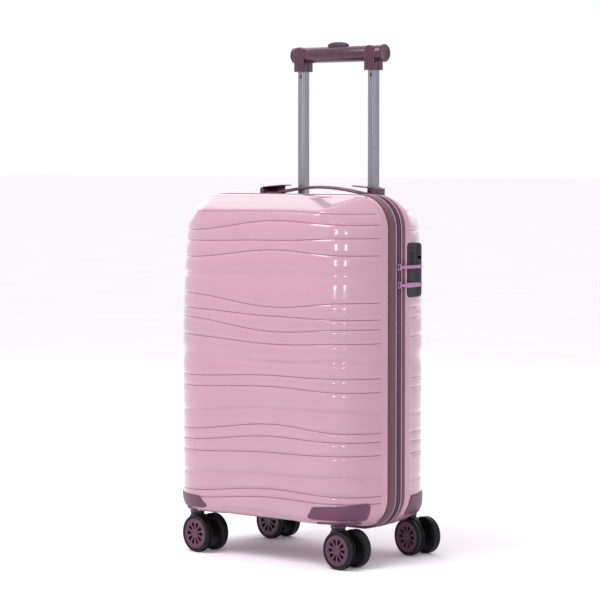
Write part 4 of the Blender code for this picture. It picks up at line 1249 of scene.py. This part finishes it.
def make_tube(stage, side):
    """One aluminium tube of the trolley, open at both ends; the inner ones have a slot for the lock's pin."""
    low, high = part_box(f"{stage}_tube_{side}")
    centre = ((low.x + high.x) / 2, (low.y + high.y) / 2)
    swell = INNER_SWELL if stage == "inner" else 0.0
    half_x, half_y = (high.x - low.x) / 2 + swell, (high.y - low.y) / 2 + swell
    outline = tube_outline(half_x, half_y, centre, TUBE_CORNERS[stage], TUBE_GROOVES[stage])
    inner = [(x + dx * TUBE_WALL, y + dy * TUBE_WALL)
             for (x, y), (dx, dy) in zip(outline, inset_directions(outline))]
    rings = [[(x, y, z) for x, y in ring] for ring, z in
             ((inner, low.z), (outline, low.z), (outline, high.z), (inner, high.z), (inner, low.z))]
    tube = loft(f"{stage}_tube", rings, False)
    if stage == "inner":
        slot = rounded_rectangle(*PIN_SLOT_HALF, 0.00115, 5, (centre[0] - 0.0008, high.z - PIN_SLOT_DROP))
        tube = cut(tube, [slab("pin_slot", slot, low.y - 0.002, centre[1] - half_y + 0.0030, "Y")])
    dressed(f"{stage}_tube_{side}_profile", tube, "brushed_anodised_aluminium", TUBE_BODIES[stage],
            [f"{stage}_tube_{side}"])


DOME = 0.0050  # height of the button's rounded part
BAR_RADIUS = 0.0122
LEFT_END = 0.0822  # the bar is shorter on the left


def button_outline():
    """Half the length and half the width of the button."""
    low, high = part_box("trolley_button")
    return high.x, (high.y - low.y) / 2


def make_grip():
    """The handlebar: a round bar with a pocket for its button, and an arched boss over each tube."""
    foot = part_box("trolley_grip")[0].z
    cap_low, cap_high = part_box("grip_cap_right")
    y, z = (cap_low.y + cap_high.y) / 2, (cap_low.z + cap_high.z) / 2
    bar = slab("bar", circle(BAR_RADIUS, 48, (y, z)), -LEFT_END, cap_low.x - 0.0003, "X", 0.0006)
    half_x, half_y = button_outline()
    pocket = rounded_rectangle(half_x + PLAY, half_y + PLAY, half_y, 8, (0, y))
    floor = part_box("trolley_button")[0].z - 0.0045
    pieces = [cut(bar, [slab("pocket", pocket, floor, 0.80, "Z")])]
    for x in (-tube_place(), tube_place()):
        pieces += boss_parts(x, y, z, foot)
    dressed("trolley_grip_bar", joined("grip", pieces), "plum_grip_plastic", "trolley_top",
            ["trolley_grip"])


def make_grip_caps():
    """The dished disc at each end of the handlebar."""
    low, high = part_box("grip_cap_right")
    y, z = (low.y + high.y) / 2, (low.z + high.z) / 2
    width = high.x - low.x
    for side, hand, start, radius in (("left", -1, LEFT_END + 0.0002, BAR_RADIUS + 0.0001),
                                      ("right", 1, low.x, (high.z - low.z) / 2)):
        profile = [(0.0001, 0.0), (radius - 0.0005, 0.0), (radius, 0.0006), (radius, width - 0.0010),
                   (radius - 0.0010, width), (radius - 0.0040, width), (radius - 0.0050, width - 0.0005),
                   (0.0001, width - 0.0005)]
        cap = turned("cap", [(r, hand * (start + a)) for r, a in profile], 48, "X", (0, y, z), False)
        dressed(f"grip_cap_{side}_disc", cap, "plum_grip_plastic", "trolley_top",
                [f"grip_cap_{side}"])


def make_button():
    """The release button on the bar: a long dome."""
    low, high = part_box("trolley_button")
    y = sum(corner.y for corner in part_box("grip_cap_right")) / 2
    half_x, half_y = button_outline()
    outline = rounded_rectangle(half_x, half_y, half_y - 0.0002, 8)
    rings = [[(a, y + b, low.z) for a, b in outline]]
    for k in range(9):
        t = math.pi / 2 * k / 8
        shrink = math.cos(t) if k < 8 else 0.04
        rings.append([(a * shrink, y + b * (0.15 + 0.85 * shrink), high.z - DOME + DOME * math.sin(t))
                      for a, b in outline])
    dressed("trolley_button_dome", loft("button", rings), "dark_button_plastic", "trolley_button",
            ["trolley_button"])


def tube_place():
    """How far the trolley's tubes are from its middle."""
    low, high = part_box("inner_tube_right")
    return (low.x + high.x) / 2


def arch(x, half, low, top, steps=10):
    """An upright outline with a flat foot and a low arched head."""
    rise = half * 0.55
    outline = [(x - half, low), (x + half, low)]
    for k in range(steps + 1):
        t = math.pi * k / steps
        outline.append((x + half * math.cos(t), top - rise + rise * math.sin(t)))
    return outline


def boss_parts(x, y, z, low):
    """A boss over one tube: an arched tongue at the front, a narrower rib behind it, and a rivet."""
    front = slab("tongue", arch(x, 0.0096, low, z + 0.0124), y - 0.0128, y - 0.0030, "Y", 0.0018)
    rear = slab("rib", rounded_rectangle(0.0096, (z - low) / 2, 0.0015, 4, (x, (z + low) / 2)), y - 0.0012,
                y + 0.0110, "Y", 0.0011)
    core = slab("core", arch(x, 0.0084, low + 0.0006, z + 0.0112), y - 0.0040, y + 0.0010, "Y")
    hollow = tube_outline(0.0071, 0.0061, (x, y), TUBE_CORNERS["inner"])
    hole = slab("socket", hollow, low - 0.01, z - 0.0118, "Z")
    rivet = turned("rivet", [(0.0001, 0.0), (0.0014, 0.0), (0.0012, -0.0004), (0.0001, -0.0005)], 20, "Y",
                   (x, y - 0.0127, low + 0.0070), False)
    parts = [cut(part, [hole]) for part in (front, rear, core)]
    return parts + [rivet]


BEZEL_CORNER = 0.0110


def make_bezel():
    """The plate on the shell that the trolley's tubes come up through."""
    low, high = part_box("trolley_bezel")
    centre = (0, (low.y + high.y) / 2)
    outline = rounded_rectangle(high.x, (high.y - low.y) / 2, BEZEL_CORNER, 8, centre)
    plate = slab("bezel", outline, low.z, high.z - 0.0004, "Z", 0.0022, 4)
    holes = []
    for x in (-tube_place(), tube_place()):
        outline = tube_outline(0.0084, 0.0074, (x, centre[1]), TUBE_CORNERS["outer"])
        holes.append(slab("hole", outline, low.z - 0.02, high.z + 0.02, "Z"))
    dressed("trolley_bezel_plate", cut(plate, holes), "plum_moulded_plastic", "case_back",
            ["trolley_bezel"])


# ---------------------------------------------------------------- carry handle

# The strap's section: places across it as shares of its half width, and heights in millimetres.
STRAP_EDGE = [(0.94, -1.6), (1.0, -1.0), (1.0, 0.4), (0.93, 1.2), (0.80, 1.5), (0.74, 1.2), (0.68, 1.7),
              (0.35, 1.95)]
BOW_REACH, BOW_SHARE = 0.0815, 0.8  # the strap is bowed this far to each side, to this share of its CAD height
FULLER, NARROWED = 0.30, 0.10  # it is thicker in the middle, and narrower at its ends


def make_carry_handle():
    """A bowed flexible strap with a crowned back and a seam along each edge."""
    low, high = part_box("carry_handle")
    y, half_y = (low.y + high.y) / 2, (high.y - low.y) / 2
    rest, rise = low.z + 0.002, high.z - low.z - 0.004
    edge = STRAP_EDGE + [(0.0, 2.0)] + [(-a, b) for a, b in reversed(STRAP_EDGE)]
    section = [(half_y * a, b * MM) for a, b in edge]
    rings = []
    count = 60
    for i in range(-count, count + 1):
        x = high.x * i / count
        bow = BOW_SHARE * max(0.0, 1 - (x / BOW_REACH) ** 2)
        level = rest + (rise - 0.0002) * bow
        rings.append([(x, y + a * (1 - NARROWED + NARROWED * bow), level + b * (1 + FULLER * bow))
                      for a, b in section])
    dressed("carry_handle_strap", loft("handle", rings), "plum_moulded_plastic", "carry_handle",
            ["carry_handle"])


MOUNT_FOOT = 0.5300  # inside the shell's top
LID_HALF, LID_OVERHANG, LID_DROP, LID_RISE = 0.0009, 0.012, 0.0035, 0.0006
END_BLOCK = 0.0072


def make_handle_mount(side):
    """The pocket at one end of the carry handle: a thin sloping lid on a cheek and an end block."""
    low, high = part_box("handle_mount_" + side)
    hand = 1 if side == "right" else -1
    near, far = (low.x, high.x) if hand > 0 else (high.x, low.x)
    tip = near - hand * LID_OVERHANG

    def block(x0, y_low, z0, x1, y_high, z1, radius):
        xs = sorted((x0, x1))
        return rounded_box("block", (xs[0], y_low, z0), (xs[1], y_high, z1), radius)

    lid = block(tip, low.y, -LID_HALF, far - hand * 0.0060, high.y, LID_HALF, 0.0008)
    slope = math.atan2(LID_DROP, abs(far - tip)) * hand
    middle = Vector(((tip + far) / 2, 0, 0))
    raised = middle + Vector((0, 0, high.z + LID_RISE))
    lid.transform(Matrix.Translation(raised) @ Matrix.Rotation(slope, 4, "Y") @ Matrix.Translation(-middle))
    side_face = [(near, MOUNT_FOOT), (far, MOUNT_FOOT), (far, high.z - 0.0012), (near, high.z + 0.0012)]
    cheek = slab("cheek", side_face[::hand], high.y - 0.0022, high.y - 0.0003, "Y", 0.0004)
    end = block(far - hand * END_BLOCK, low.y + 0.0006, MOUNT_FOOT,
                far, high.y - 0.0006, high.z - 0.0010, 0.0018)
    name = "handle_mount_" + side
    dressed(name + "_pocket", joined(name, [lid, end, cheek]), "plum_grip_plastic", "case_back",
            [name])


# ---------------------------------------------------------------- inside

CLOTH = 0.0008
LINING_HALF, LINING_TOP = 0.212, 0.5060
LINING_INSET, LINING_SLACK = 0.0085, 0.0012
TRAY_CORNER, TRAY_TURN, TRAY_PAD = 0.035, 0.012, 0.075  # corner and bend radius, and where its flat back begins


def make_front_lining():
    """Lining cloth a few millimetres inside the front shell, slightly slack between its glued edges."""
    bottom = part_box("front_lining")[0].z + 0.0005
    heights, places = np.meshgrid(np.linspace(bottom, LINING_TOP, 56),
                                  np.linspace(-LINING_HALF, LINING_HALF, 101), indexing="ij")
    slack = LINING_SLACK * np.sin(places * 31 + 3 * heights) * np.sin(heights * 37 + 1.3)
    layers = [lifted("front", places, heights, slack - inset) for inset in (LINING_INSET, LINING_INSET + CLOTH)]
    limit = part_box("front_shell")[1].y - 0.0006
    for layer in layers:
        layer[..., 1] = np.minimum(layer[..., 1], limit)
    points = np.concatenate([layer.reshape(-1, 3) for layer in layers])
    mesh = mesh_from("front_lining", points, two_sided(*heights.shape))
    cloth = dressed("front_lining_cloth", tidy(mesh), "rose_lining_polyester", "case_front",
                    ["front_lining"])


def make_rear_lining():
    """The tray of lining cloth that hides the trolley's tubes, with a padded back."""
    low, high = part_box("rear_lining")
    centre_z = (low.z + high.z) / 2
    half_w, half_h = high.x, (high.z - low.z) / 2

    def ring(inset, y, radius):
        return [(a, y, centre_z + b) for a, b in rounded_rectangle(half_w - inset, half_h - inset, radius, 8)]

    outside = [(0.0, low.y, TRAY_CORNER)]
    for k in range(7):
        t = math.pi / 2 * k / 6
        outside.append((TRAY_TURN * (1 - math.cos(t)), high.y - TRAY_TURN + TRAY_TURN * math.sin(t),
                        TRAY_CORNER - 0.010 * k / 6))
    rings = [ring(inset, y, radius) for inset, y, radius in outside]
    rings.append(ring(TRAY_PAD, high.y, 0.020))
    inside = [ring(inset + CLOTH, min(y, high.y - CLOTH), radius) for inset, y, radius in reversed(outside)]
    rows = rings + [ring(TRAY_PAD, high.y - CLOTH, 0.020)] + inside
    count = len(rings[0])
    points = [p for r in rows for p in r]
    faces = [f for f in grid_faces(len(rows), count, True) if not 0 <= f[0] - (len(rings) - 1) * count < count]
    faces.append(tuple(range((len(rings) - 1) * count, len(rings) * count)))
    faces.append(tuple(range(len(rings) * count, (len(rings) + 1) * count))[::-1])
    last = (len(rows) - 1) * count
    faces += [(last + j, last + (j + 1) % count, (j + 1) % count, j) for j in range(count)]
    mesh = tidy(mesh_from("rear_lining", points, faces))
    cloth = dressed("rear_lining_cloth", mesh, "rose_lining_polyester", "case_back",
                    ["rear_lining"])


DIVIDER_CORNER, PIPING_RADIUS = 0.030, 0.0011
POCKET_SIDE, POCKET_SHARE, POCKET_DROP = 0.020, 0.60, 0.28  # the pocket's margin, height share and drop share
ZIP_STEP, ZIP_MARGIN = 0.01, 0.036


def make_divider(beads):
    """The divider over the front half: lining cloth with piping, a mesh pocket and its zip."""
    low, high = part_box("divider_panel")
    centre = (0, (low.z + high.z) / 2)
    half_w, half_h = high.x, (high.z - low.z) / 2
    outline = rounded_rectangle(half_w, half_h, DIVIDER_CORNER, 8, centre)
    panel = slab("divider", divided(outline, 0.02), low.y, high.y, "Y")
    cloth = dressed("divider_cloth", panel, "rose_lining_polyester", "divider",
                    ["divider_panel"])
    depth = (low.y + high.y) / 2
    edge = rounded_rectangle(half_w - 0.0012, half_h - 0.0012, DIVIDER_CORNER - 0.001, 8, centre)
    piping = sweep("piping", [(x, depth, z) for x, z in edge], circle(PIPING_RADIUS, 8))
    trim = dressed("divider_piping", piping, "plum_webbing", "divider")
    drop, pocket_half = half_h * POCKET_DROP, half_h * POCKET_SHARE
    pocket_outline = rounded_rectangle(half_w - POCKET_SIDE, pocket_half, 0.018, 6, (0, centre[1] - drop))
    pocket = slab("pocket", divided(pocket_outline, 0.02), high.y + 0.0001, high.y + 0.0010, "Y")
    mesh = dressed("divider_mesh_pocket", pocket, "dark_mesh", "divider")
    top = centre[1] - drop + pocket_half - 0.006
    count = round(2 * (half_w - ZIP_MARGIN) / ZIP_STEP) + 1
    row = [(-half_w + ZIP_MARGIN + k * ZIP_STEP, high.y + 0.0012, top) for k in range(count)]
    coil = grown("coil", polyline(row, False), beads, Pitch=0.0024, Size=(0.0013, 0.0008, 0.0040),
                 Finish=FINISH["dark_nylon_coil"])
    teeth = dressed("divider_pocket_zip", coil, "dark_nylon_coil", "divider")


WEBBING_WIDTH, WEBBING_THICK = 0.025, 0.0005
STRAP_TILT = math.radians(54)
ROW_STEP, ROW_INSET = 0.02, 0.0020  # of the stitches along the straps


def make_straps(beads):
    """The two crossed webbing straps and their rows of stitches."""
    low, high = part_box("cross_straps")
    centre = Vector((0, 0, (low.z + high.z) / 2))
    length = (high.x - low.x - WEBBING_WIDTH * math.sin(STRAP_TILT)) / math.cos(STRAP_TILT)
    stitches = []
    for number, (sign, y) in enumerate(((1, low.y), (-1, (low.y + high.y) / 2 + 0.0001)), 1):
        outline = rounded_rectangle(length / 2, WEBBING_WIDTH / 2, 0.003, 3)
        strap = slab("strap", outline, 0, WEBBING_THICK, "Y")
        turn = Matrix.Translation(centre) @ Matrix.Rotation(-sign * STRAP_TILT, 4, "Y")
        strap.transform(Matrix.Translation((0, y, 0)) @ turn)
        made = dressed(f"strap_{number}_webbing", strap, "plum_webbing", "case_back",
                       ["cross_straps"])
        for side in (-1, 1):
            count = int((length - 0.008) / ROW_STEP) + 1
            across = side * (WEBBING_WIDTH / 2 - ROW_INSET)
            row = [turn @ Vector((-length / 2 + 0.004 + k * ROW_STEP, 0, across)) + Vector((0, y - 0.0001, 0))
                   for k in range(count)]
            stitches.append(grown("stitches", polyline(row, False), beads, Pitch=0.0045,
                                  Size=(0.0030, 0.0004, 0.0006), Finish=FINISH["plum_thread"]))
    dressed("strap_stitches", joined("stitches", stitches), "plum_thread", "case_back")


def make_buckle():
    """The side-release buckle where the straps cross, with a slot at each end and a seam between its halves."""
    low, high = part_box("strap_buckle")
    middle = (low + high) / 2
    outline = rounded_rectangle((high.x - low.x) / 2, (high.z - low.z) / 2, 0.006, 6, (middle.x, middle.z))
    shell = slab("buckle", outline, low.y, high.y, "Y", 0.0016)
    cutters = []
    for side in (-1, 1):
        slot = rounded_rectangle(0.0016, 0.0115, 0.0015, 4, (middle.x + side * 0.0205, middle.z))
        cutters.append(slab("slot", slot, low.y - 0.01, low.y + 0.0030, "Y"))
    seam = rounded_rectangle(0.0005, 0.02, 0.0004, 2, (middle.x + 0.004, middle.z))
    cutters.append(slab("seam", seam, low.y - 0.01, low.y + 0.0010, "Y"))
    dressed("strap_buckle_case", cut(shell, cutters), "plum_moulded_plastic", "case_back",
            ["strap_buckle"])


def make_foot():
    """The bar that ties the lower ends of the trolley's outer tubes."""
    low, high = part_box("trolley_foot")
    dressed("trolley_foot_bar", rounded_box("foot", low, high, 0.0018), "plum_moulded_plastic", "case_back",
            ["trolley_foot"])


# ---------------------------------------------------------------- studio

def make_light(name, place, aim, size, power):
    """A rectangular softbox that faces aim."""
    data = bpy.data.lights.new(name, "AREA")
    data.shape = "RECTANGLE"
    data.size, data.size_y = size
    data.energy = power
    light = bpy.data.objects.new(name, data)
    light.location = place
    light.rotation_euler = (Vector(aim) - Vector(place)).to_track_quat("-Z", "Y").to_euler()
    bpy.context.scene.collection.objects.link(light)


def make_studio():
    """A pale floor that runs out of sight, an even bright room, two large softboxes and two slim strips."""
    far = 60
    corners = [(-far, -far, 0), (far, -far, 0), (far, far, 0), (-far, far, 0)]
    floor = bpy.data.objects.new("studio_floor", mesh_from("studio_floor", corners, [(0, 1, 2, 3)]))
    floor.data.materials.append(FINISH["studio_floor_paper"])
    bpy.context.scene.collection.objects.link(floor)
    world = bpy.data.worlds.new("studio")
    world.use_nodes = True
    feed(world.node_tree, world.node_tree.nodes["Background"], {"Color": linear("#FFFFFF"), "Strength": 1.0})
    bpy.context.scene.world = world
    bpy.context.scene.view_settings.view_transform = "Standard"
    make_light("key", (-0.35, -1.10, 2.10), (0, 0, 0.35), (1.1, 1.1), 24)
    make_light("back_softbox", (-1.30, 1.90, 2.10), (0, 0, 0.52), (4.8, 3.2), 22)
    make_light("strip_left", (0.97, -2.84, 0.80), (0.15, 0, 0.35), (0.08, 0.42), 4)
    make_light("strip_right", (1.85, -2.38, 0.80), (0.15, 0, 0.35), (0.08, 0.42), 4)


def make_camera():
    """The camera: a long lens at chest height, to the right of the front."""
    data = bpy.data.cameras.new("camera")
    data.lens = 152.5
    data.sensor_width = 36
    camera = bpy.data.objects.new("camera", data)
    camera.location = (2.4052, -2.9835, 0.5954)
    camera.rotation_euler = (math.radians(90 - 3.196), 0, math.radians(38.943))
    bpy.context.scene.collection.objects.link(camera)
    bpy.context.scene.camera = camera


def shell_openings():
    """Cutters for the lock and the trolley's bezel in the rear shell."""
    clear = 0.0003
    low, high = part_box("lock_body")
    outline = rounded_rectangle((high.y - low.y) / 2 + clear, (high.z - low.z) / 2 + clear,
                                LOCK_CORNER + clear, 8, ((low.y + high.y) / 2, (low.z + high.z) / 2))
    lock = slab("lock_opening", outline, 0.150, 0.200, "X")
    low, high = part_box("trolley_bezel")
    outline = rounded_rectangle(high.x + clear, (high.y - low.y) / 2 + clear, BEZEL_CORNER + 0.0002, 8,
                                (0, (low.y + high.y) / 2))
    return [lock, slab("bezel_opening", outline, low.z - 0.01, high.z + 0.01, "Z")]


def main():
    """Builds the suitcase, its light and its camera."""
    make_finishes()
    beads, around = beads_tree(), around_tree()
    make_shell("front", "case_front")
    make_shell("rear", "case_back", shell_openings())
    for which, body in (("front", "case_front"), ("rear", "case_back")):
        make_gusset(which, body, beads)
        make_zip_side(which, body, beads)
    for which in PULLS:
        make_slider(which)
        make_pull(which)
    make_lock(around)
    make_release()
    spokes = grown("spokes", spoke_sector(), around, Count=SLOT_COUNT, Weld=0.00002,
                   Finish=FINISH["plum_hub_plastic"])
    for corner in CORNERS:
        make_housing(corner)
        make_fork(corner)
        make_wheels(corner, spokes)
    for side in ("left", "right"):
        for stage in TUBE_BODIES:
            make_tube(stage, side)
        make_handle_mount(side)
    make_grip()
    make_grip_caps()
    make_button()
    make_bezel()
    make_carry_handle()
    make_front_lining()
    make_rear_lining()
    make_divider(beads)
    make_straps(beads)
    make_buckle()
    make_foot()
    make_studio()
    make_camera()


main()
